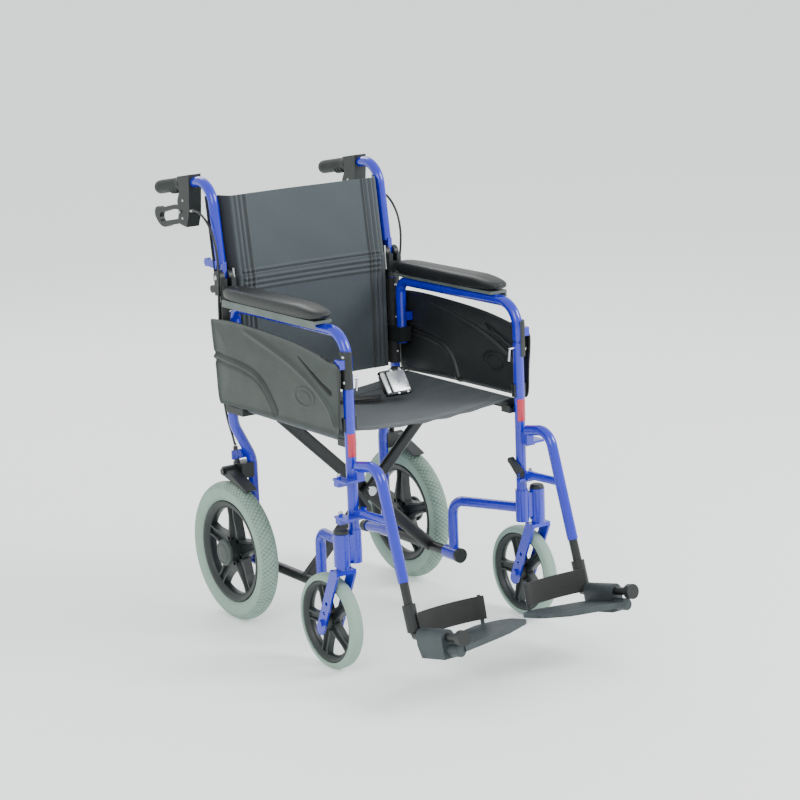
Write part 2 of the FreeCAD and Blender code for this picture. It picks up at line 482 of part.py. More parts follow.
# Leg rests ----------------------------------------------------------------------------------
def hanger():
    """Blue tube with two plates that pass round the upright and drop over the swing pins."""
    way = (HANGER_FOOT - HANGER_BEND).normalize()
    tube = sweep([V(SIDE_X, FRONT_Y - 24, 420), HANGER_BEND, HANGER_FOOT], [38], TUBE_R)
    bore = rod(HANGER_FOOT - way * 130, HANGER_FOOT + way, EXTENSION_R + RUN_GAP)
    pieces = [tube]
    front = (FRONT_Y - 32, FRONT_Y - 14)
    upper, lower = UPPER_LUG_Z + LUG_H + 0.5, LOWER_LUG_Z + LUG_H + 0.5
    for z in (upper, lower):
        pieces.append(block((SWING_X - 13, SWING_X + 9), (front[0], SWING_Y + 9), (z, z + 5)))
        pieces.append(block((SIDE_X - 9, SWING_X + 9), front, (z, z + 5)))
    pieces.append(block((SIDE_X - 9, SIDE_X + 9), front, (upper, 416)))
    pieces.append(block((SIDE_X - 9, SIDE_X + 9), front, (lower, 332)))
    at_bar = HANGER_BEND + way * ((HANGER_BEND.z - 330) / -way.z)
    pieces.append(rod(V(SIDE_X, FRONT_Y - 26, 326), at_bar, 8.5))
    pieces.append(block((SIDE_X - 26, SIDE_X - 8), (LATCH_Y - 6, LATCH_Y + 6), (lower, lower + 5)))
    pieces.append(rod(V(SIDE_X - 24, LATCH_Y, LATCH_Z), V(SIDE_X - 10, LATCH_Y, LATCH_Z), 3))
    pieces.append(block((SIDE_X - 13, SIDE_X - 8), (LATCH_Y - 6, LATCH_Y + 6), (lower, 336)))
    whole = fuse(pieces).cut(bore)
    for z in (upper, lower):
        hole = rod(V(SWING_X, SWING_Y, z - 1), V(SWING_X, SWING_Y, z + 20), SWING_PIN_R + RUN_GAP)
        whole = whole.cut(hole)
    pair("hanger", [whole])
    x = SIDE_X - 24
    latch = plate([V(x, LATCH_Y - 7, 326), V(x, LATCH_Y + 6, 324), V(x, LATCH_Y + 32, 348),
                   ("arc", V(x, LATCH_Y + 36, 358), V(x, LATCH_Y + 26, 358)),
                   V(x, LATCH_Y - 6, 337)], X_AXIS * 10.5)
    hole = rod(V(x - 2, LATCH_Y, LATCH_Z), V(x + 20, LATCH_Y, LATCH_Z), 3 + RUN_GAP)
    pair("hanger_latch", [latch.cut(hole)])


def on_foot(forward, rise, x):
    """A point in the footplate's tilted frame, from the hinge axis at the block."""
    return V(x, FOOT_Y - forward * math.cos(FOOT_TILT) - rise * -math.sin(FOOT_TILT),
             FOOT_Z + forward * math.sin(FOOT_TILT) + rise * math.cos(FOOT_TILT))


def footrest():
    way = (HANGER_FOOT - HANGER_BEND).normalize()
    stem = rod(HANGER_FOOT - way * 85, HANGER_FOOT + way * 100, EXTENSION_R)
    clamp = ring(HANGER_FOOT + way * 43, HANGER_FOOT + way * 96, 13.5, EXTENSION_R)
    heel = rod(on_foot(-13, 1, FOOT_X), on_foot(6, 0, FOOT_X), 11)
    axle = rod(on_foot(-10, 0, FOOT_X), on_foot(132, 0, FOOT_X), FOOT_AXLE_R)
    cap = rod(on_foot(132, 0, FOOT_X), on_foot(145, 0, FOOT_X), 15)
    pair("footrest_stem", [fuse([stem, clamp, heel, axle, cap])])

    def flat(x, forward):
        return on_foot(forward, (FOOT_X - x) * PLATE_LEAN - PLATE_DROP, x)

    outer = FOOT_X - 12
    tread = plate([flat(outer, 18), flat(76, -5), ("arc", flat(38, 10), flat(PLATE_INNER_X, 38)),
                   flat(PLATE_INNER_X, 80),
                   ("arc", flat(PLATE_INNER_X + 5, 91), flat(PLATE_INNER_X + 20, 98)),
                   ("arc", flat(115, 114), flat(outer, 127))],
                  on_foot(0, PLATE_T, 0) - on_foot(0, 0, 0))
    nose = on_foot(0, 5, 0) - on_foot(0, 0, 0)
    bevel = plate([flat(PLATE_INNER_X - 8, -20), flat(PLATE_INNER_X - 8, -20) + nose * 1.13, flat(75, -20)],
                  on_foot(150, 0, 0) - on_foot(0, 0, 0))
    inner, outside = FOOT_X - FOOT_SLEEVE_R, FOOT_X + FOOT_SLEEVE_R
    section = [on_foot(8, -41, inner), on_foot(8, 0, inner), ("arc", on_foot(8, FOOT_SLEEVE_R, FOOT_X),
               on_foot(8, 0, outside)), on_foot(8, -41, outside)]
    sleeve = plate(section, on_foot(84, 0, 0) - on_foot(0, 0, 0))
    heel_cut = plate([on_foot(4, -5, inner - 5), on_foot(19, -46, inner - 5), on_foot(4, -46, inner - 5)],
                     X_AXIS * 40)
    sleeve = sleeve.cut(heel_cut)
    screw = rod(on_foot(34, -44, FOOT_X), on_foot(34, -38, FOOT_X), 4)
    side_rib = rod(on_foot(86, -25.5, FOOT_X - 3), on_foot(124, -25.5, FOOT_X - 3), 12)
    post = rod(on_foot(0, -18, HEEL_POST_X), on_foot(0, 46, HEEL_POST_X), 4)
    space = rod(on_foot(0, 0, FOOT_X), on_foot(140, 0, FOOT_X), FOOT_AXLE_R + RUN_GAP)
    pair("footplate", [fuse([tread.cut(bevel), sleeve, screw, side_rib, post]).cut(space)])
    start, bow, end = on_foot(0, -2, 193), on_foot(-14, -2, 130), on_foot(5, -2, HEEL_POST_X + 6)
    rise = on_foot(0, 46, 0) - on_foot(0, 0, 0)
    back = on_foot(-2.5, 0, 0) - on_foot(0, 0, 0)
    strap = plate([start, ("arc", bow, end), end + back, ("arc", bow + back, start + back)], rise)
    pair("heel_strap", [strap])


# Soft pieces --------------------------------------------------------------------------------
def sagging_sheet(half, top, sag, thick):
    """Cross-section of a sheet slung between two edges, as a face in the XZ plane."""
    def at(x, z):
        return V(x, 0, z)
    return Part.Face(outline([at(-half, top), ("arc", at(0, top - sag), at(half, top)),
                              at(half, top - thick),
                              ("arc", at(0, top - sag - thick), at(-half, top - thick))]))


def seat():
    rail_top = RAIL_Z + SEAT_TUBE_R + SOFT_GAP
    face = sagging_sheet(RAIL_X, rail_top + 3, 20, 3)
    face.translate(V(0, FRONT_Y + 18, 0))
    nodes["seat_sling"] = [face.extrude(V(0, RAIL_REAR_Y - FRONT_Y - 14, 0))]


def backrest():
    """Lower and upper halves of the back upholstery, parted at the folding joints' axis."""
    front = REAR_Y - TUBE_R - 3.4
    half = SIDE_X - 18
    nodes["back_lower"] = [block((-half, half), (front, front + 3), (492, HINGE_Z - 2))]
    lean = (HANDLE_CORNER - CANE_FOOT).normalize()
    base = V(-half, HINGE_Y - 24, HINGE_Z + 2)
    top = base + lean * 165
    depth = V(0, 3, 0)
    width = V(2 * half, 0, 0)
    nodes["back_upper"] = [plate([base, base + depth, top + depth, top], width)]


def lap_belt():
    """Webbing from each rear post over the seat, and the square buckle standing on the seat."""
    z = RAIL_Z + 18
    straps = []
    for post_x, buckle_x in ((190, 94), (-190, 26)):
        straps.append(plate([V(post_x, 190, z), V(post_x, 228, z), V(buckle_x, 92, z),
                             V(buckle_x, 56, z)], V(0, 0, 2)))
    nodes["lap_belt"] = straps
    wide, tall, thick = 62.0, 56.0, 14.0
    buckle = block((-wide / 2, wide / 2), (-tall / 2, tall / 2), (-thick, 0))
    upright = [e for e in buckle.Edges if abs(e.tangentAt(e.FirstParameter).z) > 0.9]
    buckle = buckle.makeFillet(5, upright)
    buckle.rotate(V(0, 0, 0), X_AXIS, BUCKLE_LEAN)
    buckle.rotate(V(0, 0, 0), Z_AXIS, BUCKLE_TURN)
    buckle.translate(BUCKLE_AT)
    nodes["belt_buckle"] = [buckle]


# Brake cables -------------------------------------------------------------------------------
def brake_cable():
    """Outer cable from the handle housing, bowed clear of the cane and down the rear post."""
    points = [V(*p) for p in CABLE_ROUTE]
    radii = []
    for before, corner, after in zip(points, points[1:], points[2:]):
        turn = math.pi - (before - corner).getAngle(after - corner)
        shorter = min((before - corner).Length, (after - corner).Length)
        radii.append(0.45 * shorter / math.tan(turn / 2))
    pair("brake_cable", [sweep(points, radii, CABLE_R)])


# Assembly -----------------------------------------------------------------------------------
frame = side_frame()
pair("side_frame", [frame])
pair("frame_fittings", frame_fittings(frame))
folding_cross()
rear_wheel()
caster()
brake()
back_hinge()
upper_cane()
handle()
armrest()
side_panel()
armrest_pin()
hanger()
footrest()
seat()
backrest()
lap_belt()
brake_cable()

os.makedirs("parts", exist_ok=True)
for name, solids in nodes.items():
    shape = solids[0] if len(solids) == 1 else Part.makeCompound(solids)
    shape.exportStep(os.path.join("parts", name + ".step"))
print(len(nodes), "nodes")
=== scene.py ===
"""Folding transport wheelchair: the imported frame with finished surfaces, cloth and small fittings.

Lengths in the shape functions are millimetres unless a name says otherwise; meshes are metres.
"""
import math

import bmesh
import bpy
import numpy as np
from mathutils import Matrix, Vector


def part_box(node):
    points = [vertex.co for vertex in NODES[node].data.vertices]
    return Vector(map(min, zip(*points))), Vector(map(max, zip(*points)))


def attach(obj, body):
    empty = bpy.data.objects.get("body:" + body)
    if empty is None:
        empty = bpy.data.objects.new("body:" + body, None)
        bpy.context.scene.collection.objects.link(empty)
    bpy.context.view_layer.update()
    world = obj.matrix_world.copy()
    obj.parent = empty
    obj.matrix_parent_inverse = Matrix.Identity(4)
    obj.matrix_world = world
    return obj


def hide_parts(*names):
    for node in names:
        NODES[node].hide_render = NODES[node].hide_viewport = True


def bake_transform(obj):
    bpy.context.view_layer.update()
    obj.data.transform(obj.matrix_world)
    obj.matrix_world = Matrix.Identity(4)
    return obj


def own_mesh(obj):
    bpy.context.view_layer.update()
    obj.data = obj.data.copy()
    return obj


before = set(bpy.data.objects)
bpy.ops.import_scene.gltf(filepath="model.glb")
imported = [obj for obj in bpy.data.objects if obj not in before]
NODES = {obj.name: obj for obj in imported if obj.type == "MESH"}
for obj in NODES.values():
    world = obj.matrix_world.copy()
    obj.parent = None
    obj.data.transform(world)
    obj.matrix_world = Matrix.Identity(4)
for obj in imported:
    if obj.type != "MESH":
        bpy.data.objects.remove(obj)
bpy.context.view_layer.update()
SIDES = {"left": 1.0, "right": -1.0}
MM = 0.001
TURN = 2 * math.pi

# Sizes of this chair that its cloth and mouldings follow, in millimetres
CANE_X = 211.0
TUBE_R = 11.0
HANDLE_TILT = math.radians(-8.92)
FOOT_TILT = math.radians(12.0)
FOOT_HINGE = np.array([208.0, -385.0, 122.0])
SWING_PIN = (239.0, -176.0)
CABLE_ROUTE = (
    (222, 366, 868), (226, 338, 872), (230, 309, 866), (232, 281, 850),
    (233, 259, 822), (233, 249, 786), (232, 250, 748), (230, 257, 710),
    (229, 262, 668), (228.5, 263, 620), (228.5, 264, 570), (228, 265, 520),
    (225, 268, 470), (217, 271, 430), (208, 270, 398), (205, 267, 376),
)


# Materials ----------------------------------------------------------------------------------
def linear(code):
    """sRGB hex to linear RGBA."""
    channels = [int(code[i:i + 2], 16) / 255 for i in (1, 3, 5)]
    curve = [c / 12.92 if c <= 0.04045 else ((c + 0.055) / 1.055) ** 2.4 for c in channels]
    return (*curve, 1.0)


def add(tree, kind, inputs=None, **settings):
    """Adds a node. Inputs map a socket to a value or to another node's output."""
    made = tree.nodes.new("ShaderNode" + kind)
    for key, value in settings.items():
        setattr(made, key, value)
    for key, value in (inputs or {}).items():
        if isinstance(value, bpy.types.NodeSocket):
            tree.links.new(value, made.inputs[key])
        else:
            made.inputs[key].default_value = value
    return made


def start_material(name, **sockets):
    """An empty material with one Principled shader whose constant sockets are set."""
    made = bpy.data.materials.new(name)
    made.use_nodes = True
    tree = made.node_tree
    tree.nodes.clear()
    shader = add(tree, "BsdfPrincipled", sockets)
    add(tree, "OutputMaterial", {"Surface": shader.outputs[0]})
    return made, tree, shader


def tint(tree, factor, low, high):
    """Colour between two hex codes."""
    return add(tree, "Mix", {"Factor": factor, 6: linear(low), 7: linear(high)},
               data_type="RGBA").outputs[2]


def spread(tree, value, low, high, into_low, into_high):
    """Value remapped between two ranges."""
    return add(tree, "MapRange", {"Value": value, 1: low, 2: high, 3: into_low, 4: into_high}).outputs[0]


def painted(name, dark, light, rough, **sockets):
    """Baked enamel on tube: even colour, fine orange peel 1.5 mm across, dust that dulls it in patches."""
    made, tree, shader = start_material(name, **sockets)
    place = add(tree, "TexCoord").outputs["Object"]
    patches = add(tree, "TexNoise", {"Vector": place, "Scale": 14.0, "Detail": 3.0}).outputs[0]
    peel = add(tree, "TexNoise", {"Vector": place, "Scale": 650.0, "Detail": 1.0}).outputs[0]
    tree.links.new(tint(tree, patches, dark, light), shader.inputs["Base Color"])
    tree.links.new(spread(tree, patches, 0.3, 0.7, rough, rough + 0.1), shader.inputs["Roughness"])
    bump = add(tree, "Bump", {"Height": peel, "Strength": 0.25, "Distance": 0.0001})
    tree.links.new(bump.outputs[0], shader.inputs["Normal"])
    return made


def moulded(name, dark, light, rough, grain_mm, depth_mm, **sockets):
    """Moulded plastic or rubber: spark-eroded grain of a given size, cloudy sheen from handling, and painted
    shade where the mesh is marked.
    """
    made, tree, shader = start_material(name, **sockets)
    place = add(tree, "TexCoord").outputs["Object"]
    cloud = add(tree, "TexNoise", {"Vector": place, "Scale": 22.0, "Detail": 4.0}).outputs[0]
    grain = add(tree, "TexNoise", {"Vector": place, "Scale": 1000.0 / grain_mm, "Detail": 2.0}).outputs[0]
    pits = add(tree, "TexVoronoi", {"Vector": place, "Scale": 700.0 / grain_mm}).outputs["Distance"]
    height = add(tree, "Math", {0: grain, 1: pits}, operation="ADD").outputs[0]
    plain = tint(tree, spread(tree, cloud, 0.3, 0.7, 0, 1), dark, light)
    # Marked places go near-black: painted shade, used for the side guard's slot and groove.
    mark = add(tree, "Attribute", attribute_name="shade").outputs["Fac"]
    marked = add(tree, "Mix", {"Factor": mark, 6: plain, 7: linear("#0A0C0D")}, data_type="RGBA").outputs[2]
    tree.links.new(marked, shader.inputs["Base Color"])
    tree.links.new(spread(tree, grain, 0.3, 0.7, rough - 0.05, rough + 0.08), shader.inputs["Roughness"])
    bump = add(tree, "Bump", {"Height": height, "Strength": 0.5, "Distance": depth_mm * MM})
    tree.links.new(bump.outputs[0], shader.inputs["Normal"])
    return made


def woven(name, dark, light, rough, thread_mm, depth_mm, **sockets):
    """Woven cloth: two sets of threads crossing along the piece's own UV map, which is in metres.
    Marks on the mesh darken it: painted shade beside piped and stitched lines, and dark edges that are the
    cloth's own colour."""
    made, tree, shader = start_material(name, **sockets)
    flat = add(tree, "UVMap", uv_map="cloth").outputs[0]
    scale = 314.16 / thread_mm
    warp = add(tree, "TexWave", {"Vector": flat, "Scale": scale, "Distortion": 0.4},
               bands_direction="X").outputs[1]
    weft = add(tree, "TexWave", {"Vector": flat, "Scale": scale, "Distortion": 0.4},
               bands_direction="Y").outputs[1]
    weave = add(tree, "Math", {0: warp, 1: weft}, operation="MULTIPLY").outputs[0]
    slubs = add(tree, "TexNoise", {"Vector": flat, "Scale": 30.0, "Detail": 5.0}).outputs[0]
    shade = add(tree, "Math", {0: weave, 1: slubs}, operation="MULTIPLY").outputs[0]
    plain = tint(tree, spread(tree, shade, 0.0, 0.55, 0, 1), dark, light)
    # Marked places go near-black: painted shade in grooves beside the piping, and the cloth's own dark edges.
    mark = add(tree, "Attribute", attribute_name="shade").outputs["Fac"]
    marked = add(tree, "Mix", {"Factor": mark, 6: plain, 7: linear("#0C0F11")}, data_type="RGBA").outputs[2]
    tree.links.new(marked, shader.inputs["Base Color"])
    tree.links.new(spread(tree, slubs, 0.3, 0.7, rough - 0.06, rough + 0.06), shader.inputs["Roughness"])
    bump = add(tree, "Bump", {"Height": weave, "Strength": 0.6, "Distance": depth_mm * MM})
    tree.links.new(bump.outputs[0], shader.inputs["Normal"])
    return made


def brushed(name, dark, light, rough):
    """Plated or stainless steel: drawn lines across the piece, small bright and dull runs."""
    made, tree, shader = start_material(name, Metallic=1.0)
    place = add(tree, "TexCoord").outputs["Object"]
    drawn = add(tree, "Mapping", {"Vector": place, "Scale": (90.0, 2600.0, 2600.0)}).outputs[0]
    lines = add(tree, "TexNoise", {"Vector": drawn, "Scale": 1.0, "Detail": 3.0}).outputs[0]
    tree.links.new(tint(tree, lines, dark, light), shader.inputs["Base Color"])
    tree.links.new(spread(tree, lines, 0.3, 0.7, rough, rough + 0.15), shader.inputs["Roughness"])
    return made


def tyre_rubber():
    """Grey-green non-marking polyurethane: chalky, darker in the grooves between the tread blocks."""
    made, tree, shader = start_material("non_marking_tyre_rubber", IOR=1.5)
    place = add(tree, "TexCoord").outputs["Object"]
    cloud = add(tree, "TexNoise", {"Vector": place, "Scale": 18.0, "Detail": 4.0}).outputs[0]
    speck = add(tree, "TexNoise", {"Vector": place, "Scale": 900.0, "Detail": 2.0}).outputs[0]
    # Darker in the tread grooves, by the tread_depth mark of how deep they are cut.
    tread = add(tree, "Attribute", attribute_name="tread_depth").outputs["Fac"]
    clean = tint(tree, cloud, "#7B9386", "#8DA398")
    groove_darkened = add(tree, "Mix", {"Factor": tread, 6: clean, 7: linear("#3E4F47")}, data_type="RGBA").outputs[2]
    tree.links.new(groove_darkened, shader.inputs["Base Color"])
    tree.links.new(spread(tree, speck, 0.3, 0.7, 0.62, 0.78), shader.inputs["Roughness"])
    bump = add(tree, "Bump", {"Height": speck, "Strength": 0.3, "Distance": 0.0002})
    tree.links.new(bump.outputs[0], shader.inputs["Normal"])
    return made


FRAME_BLUE = painted("baked_blue_enamel", "#0711A2", "#0B19BA", 0.22,
                     **{"Coat Weight": 0.6, "Coat Roughness": 0.08})
BLACK_PAINT = painted("black_stoved_paint", "#101213", "#17191A", 0.36)
BLACK_NYLON = moulded("moulded_black_nylon", "#141718", "#1D2122", 0.46, 1.2, 0.12)
RIM_NYLON = moulded("moulded_rim_nylon", "#14191A", "#1F2627", 0.42, 1.6, 0.12)
GRIP_RUBBER = moulded("grip_rubber", "#1A1F1F", "#262C2B", 0.62, 1.5, 0.2)
PAD_SKIN = moulded("armrest_foam_skin", "#0B0D0F", "#121517", 0.5, 2.6, 0.25, **{"Coat Weight": 0.1})
TRIM_GREY = moulded("grey_trim_plastic", "#4D5553", "#5C6563", 0.5, 1.8, 0.12)
PANEL_GREY = moulded("grained_panel_abs", "#272E2B", "#313936", 0.5, 2.2, 0.22)
FOOT_GREY = moulded("footplate_polypropylene", "#262D30", "#333C40", 0.52, 2.5, 0.25)
CABLE_SKIN = moulded("cable_sheath_vinyl", "#0F1112", "#171A1B", 0.4, 1.0, 0.05)
HUB_GREY = moulded("hub_cap_plastic", "#2C3534", "#38423F", 0.5, 1.6, 0.12)
RED_VINYL = moulded("red_vinyl_band", "#A91A33", "#C2213D", 0.35, 1.5, 0.03, **{"Coat Weight": 0.4})
BRIGHT_STEEL = brushed("plated_steel", "#B4B7B9", "#CDD0D2", 0.22)
BACK_CLOTH = woven("nylon_back_cloth", "#2B343A", "#454F57", 0.72, 2.2, 0.25, **{"Sheen Weight": 0.25})
SEAT_CLOTH = woven("nylon_seat_cloth", "#262F33", "#404C52", 0.68, 2.2, 0.25, **{"Sheen Weight": 0.2})
WEBBING = woven("polyester_webbing", "#0B0C0D", "#1C1F21", 0.7, 2.6, 0.3, **{"Sheen Weight": 0.15})
TYRE_GREY = tyre_rubber()

NODE_FINISH = {
    FRAME_BLUE: ("side_frame", "armrest_frame", "upper_cane", "hanger", "caster_fork"),
    BLACK_NYLON: ("frame_fittings", "back_hinge", "back_release", "handle_housing", "brake_lever",
                  "hanger_latch", "brake_shoe"),
    BLACK_PAINT: ("cross_arm_a", "cross_arm_b", "footrest_stem", "brake_bracket"),
    BRIGHT_STEEL: ("cross_bolt", "armrest_pin"),
    FOOT_GREY: ("footplate",),
    TRIM_GREY: ("armrest_trim",),
}
for finish, families in NODE_FINISH.items():
    for name, node in NODES.items():
        if name in families or name.rsplit("_", 1)[0] in families:
            node.data.materials.clear()
            node.data.materials.append(finish)


# Shapes -------------------------------------------------------------------------------------
class Form:
    """Surfaces collected into one mesh, each given as a grid of points."""

    def __init__(self):
        self.points, self.faces, self.maps, self.marks = [], [], [], []
        self.count = 0

    def sheet(self, grid, wrap_u=False, wrap_v=False, flat=None, mark=None):
        """Adds quads between neighbouring points of a grid, wrapped round where asked."""
        rows, columns = grid.shape[:2]
        index = np.arange(rows * columns).reshape(rows, columns)
        if wrap_u:
            index = np.vstack([index, index[:1]])
        if wrap_v:
            index = np.hstack([index, index[:, :1]])
        quads = np.stack([index[:-1, :-1], index[1:, :-1], index[1:, 1:], index[:-1, 1:]], -1)
        self.faces += (quads.reshape(-1, 4) + self.count).tolist()
        self.points.append(grid.reshape(-1, 3))
        self.maps.append((grid[..., :2] if flat is None else flat).reshape(-1, 2))
        self.marks.append(np.zeros(rows * columns) if mark is None else mark.reshape(-1))
        self.count += rows * columns
        return self

    def lid(self, ring):
        """Adds one face across a ring of points."""
        self.faces.append((np.arange(len(ring)) + self.count).tolist())
        self.points.append(ring)
        self.maps.append(ring[:, :2])
        self.marks.append(np.zeros(len(ring)))
        self.count += len(ring)
        return self

    def tube(self, grid, flat=None):
        """Adds a grid wrapped along its second direction, with a lid at each end."""
        self.sheet(grid, wrap_v=True, flat=flat)
        self.lid(grid[0])
        return self.lid(grid[-1])

    def make(self, name, material, side=1.0, flat_angle=40.0, mark_name="shade"):
        """The mesh object, mirrored for the right-hand side, welded, facing outwards, with one material."""
        points = np.vstack(self.points) * [side, 1, 1] * MM
        mesh = bpy.data.meshes.new(name)
        mesh.from_pydata(points.tolist(), [], self.faces)
        corners = np.empty(len(mesh.loops), dtype=np.int64)
        mesh.loops.foreach_get("vertex_index", corners)
        layer = mesh.uv_layers.new(name="cloth")
        layer.data.foreach_set("uv", (np.vstack(self.maps)[corners] * MM).astype(np.float32).ravel())
        attribute = mesh.attributes.new(mark_name, "FLOAT", "POINT")
        attribute.data.foreach_set("value", np.concatenate(self.marks).astype(np.float32))
        shell = bmesh.new()
        shell.from_mesh(mesh)
        bmesh.ops.remove_doubles(shell, verts=shell.verts, dist=2e-6)
        bmesh.ops.dissolve_degenerate(shell, edges=shell.edges, dist=1e-7)
        bmesh.ops.recalc_face_normals(shell, faces=shell.faces)
        shell.to_mesh(mesh)
        shell.free()
        mesh.materials.append(material)
        mesh.shade_smooth()
        mesh.set_sharp_from_angle(angle=math.radians(flat_angle))
        made = bpy.data.objects.new(name, mesh)
        bpy.context.scene.collection.objects.link(made)
        return made


def box_mm(node):
    """Lowest and highest corner of a node, in millimetres."""
    return np.array(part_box(node), float) / MM


def fit(piece, body, slot, *replaced):
    """Puts a finished piece on its body, in place of CAD nodes. The slot argument is not used."""
    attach(piece, body)
    if replaced:
        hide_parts(*replaced)
    return piece


def smoothstep(x):
    """3x squared minus 2x cubed, on 0 to 1."""
    x = np.clip(x, 0, 1)
    return x * x * (3 - 2 * x)


def lathe(profile, centre, steps):
    """Turns a closed profile of (along X, radius) about an X axis: y is r sin t and z is r cos t."""
    turn = np.linspace(0, TURN, steps, endpoint=False)[:, None]
    along, radius = profile[None, :, 0], profile[None, :, 1]
    x = np.broadcast_to(along, (steps, profile.shape[0]))
    return np.stack([x, radius * np.sin(turn), radius * np.cos(turn)], -1) + centre


def rounded(points, passes=3):
    """Cuts each corner of a closed outline at a quarter and three quarters of its runs."""
    for _ in range(passes):
        following = np.roll(points, -1, axis=0)
        points = np.stack([points * 0.75 + following * 0.25, points * 0.25 + following * 0.75], 1)
        points = points.reshape(-1, points.shape[-1])
    return points


def eased(points, passes=3):
    """As rounded, for an open line that keeps its two ends."""
    points = np.array(points, float)
    for _ in range(passes):
        cut = np.stack([points[:-1] * 0.75 + points[1:] * 0.25, points[:-1] * 0.25 + points[1:] * 0.75], 1)
        points = np.vstack([points[:1], cut.reshape(-1, points.shape[1]), points[-1:]])
    return points


def spaced(points, count):
    """Points at equal distances along a line."""
    run = np.concatenate([[0], np.cumsum(np.linalg.norm(np.diff(points, axis=0), axis=1))])
    at = np.linspace(0, run[-1], count)
    return np.stack([np.interp(at, run, points[:, i]) for i in range(points.shape[1])], 1)


def from_line(places, line):
    """Distance of each place from a line of runs, and how far along the line it lies, 0 to 1."""
    start, run = line[:-1], np.diff(line, axis=0)
    offset = places[..., None, :] - start
    share = np.clip((offset * run).sum(-1) / (run ** 2).sum(-1), 0, 1)
    gap = np.linalg.norm(offset - share[..., None] * run, axis=-1)
    nearest = gap.argmin(-1)
    along = (nearest + np.take_along_axis(share, nearest[..., None], -1)[..., 0]) / len(run)
    return gap.min(-1), along


def swept(path, radius, sides=16, up=(0, 0, 1)):
    """A round bar about a path: the ring at each point is square to the path's direction there."""
    path = np.array(path, float)
    ahead = np.gradient(path, axis=0)
    ahead /= np.linalg.norm(ahead, axis=1)[:, None]
    across = np.cross(ahead, np.array(up, float))
    across /= np.linalg.norm(across, axis=1)[:, None]
    over = np.cross(across, ahead)
    turn = np.linspace(0, TURN, sides, endpoint=False)[None, :, None]
    radius = np.broadcast_to(np.asarray(radius, float), (len(path),))[:, None, None]
    return path[:, None] + radius * (np.cos(turn) * across[:, None] + np.sin(turn) * over[:, None])


def on_foot(forward, rise, x):
    """A point in the footplate's tilted frame, from its hinge."""
    c, s = math.cos(FOOT_TILT), math.sin(FOOT_TILT)
    forward, rise, x = np.broadcast_arrays(forward, rise, x)
    return np.stack([x, FOOT_HINGE[1] - forward * c + rise * s, FOOT_HINGE[2] + forward * s + rise * c], -1)


# Wheels -------------------------------------------------------------------------------------
def rear_tyre(side, sign):
    """Torus section r about radius R, flattened where it sits on the rim. Thin grooves cross where
    sin(a + b) or sin(a - b) is nearly nothing, a running round the tyre and b across it, so they leave
    diamond blocks; they stop at a shoulder line, and the sidewall carries two fine raised rings."""
    low, high = box_mm("rear_tyre_" + side)
    centre, section, outer = (low + high) / 2, (high - low)[0] / 2, (high - low)[2] / 2
    blocks, rows = 46, 1150
    turn = np.linspace(0, TURN, rows, endpoint=False)[:, None]
    tread_edge = 1.32
    across = np.concatenate([np.linspace(-tread_edge, tread_edge, 46),
                             np.linspace(tread_edge, TURN - tread_edge, 22)[1:-1]])
    across = np.where(across > math.pi, across - TURN, across)[None, :]
    one, other = np.sin(turn * blocks + across * 5.6), np.sin(turn * blocks - across * 5.6)
    wander = 0.30 + 0.08 * np.sin(turn * 23 + across * 3)
    grooves = np.maximum(smoothstep(1 - np.abs(one) / wander), smoothstep(1 - np.abs(other) / wander))
    cut = grooves * smoothstep((tread_edge - 0.12 - np.abs(across)) / 0.1)
    lines = np.exp(-((np.abs(across) - 1.5) / 0.05) ** 2) + np.exp(-((np.abs(across) - 1.95) / 0.05) ** 2)
    depth = section - 1.3 * cut - 0.5 * lines
    radius = np.maximum(outer - section + depth * np.cos(across), 110.0)
    grid = np.stack([centre[0] * sign + depth * np.sin(across) + 0 * turn,
                     centre[1] + radius * np.sin(turn), centre[2] + radius * np.cos(turn)], -1)
    tyre = Form().sheet(grid, wrap_u=True, wrap_v=True, mark=cut)
    tyre = tyre.make("rear_tyre_skin_" + side, TYRE_GREY, sign, 80.0, "tread_depth")
    fit(tyre, "rear_wheel_" + side, "grey_tyre", "rear_tyre_" + side)


def spokes(form, centre, radii, widths, depth, groove, start=0.0, inboard=0.0):
    """Five U-section spokes: width goes from the hub's to the rim's value, narrowest between, with a groove
    down each face; the section is the same polygon at each radius, turned about the axle."""
    share = np.linspace(0, 1, 10)
    reach = radii[0] + (radii[1] - radii[0]) * share
    width = widths[0] + (widths[1] - widths[0]) * smoothstep(share * 1.1) + 5 * smoothstep((share - 0.8) * 5)
    half = depth / 2
    section = np.array([(-1, -half), (-0.62, -half), (-0.42, groove - half), (0.42, groove - half),
                        (0.62, -half), (1, -half), (1, half), (0.62, half), (0.42, half - groove),
                        (-0.42, half - groove), (-0.62, half), (-1, half)], float)
    y = section[None, :, 0] * width[:, None] / 2
    x = np.broadcast_to(section[None, :, 1], y.shape) - inboard * (1 - smoothstep(share - 0.3))[:, None]
    z = np.broadcast_to(reach[:, None], y.shape)
    for i in range(5):
        a = start + TURN * i / 5
        grid = np.stack([x, y * math.cos(a) + z * math.sin(a), z * math.cos(a) - y * math.sin(a)], -1)
        form.tube(grid + centre)


def rim(form, centre, outer, inner, half, step):
    """Deep rim: a flange slopes from the tyre's seat to the well, round a closed profile."""
    profile = np.array([(-half, outer), (half, outer), (half + 2, outer - 2),
                        (half + 1, outer - step * 0.45), (half - 3, inner + step * 0.25),
                        (half - 6, inner + 1), (0, inner), (6 - half, inner + 1),
                        (3 - half, inner + step * 0.25), (-half - 1, outer - step * 0.45),
                        (-half - 2, outer - 2)])
    form.sheet(lathe(rounded(profile, 2), centre, 144), wrap_u=True, wrap_v=True)


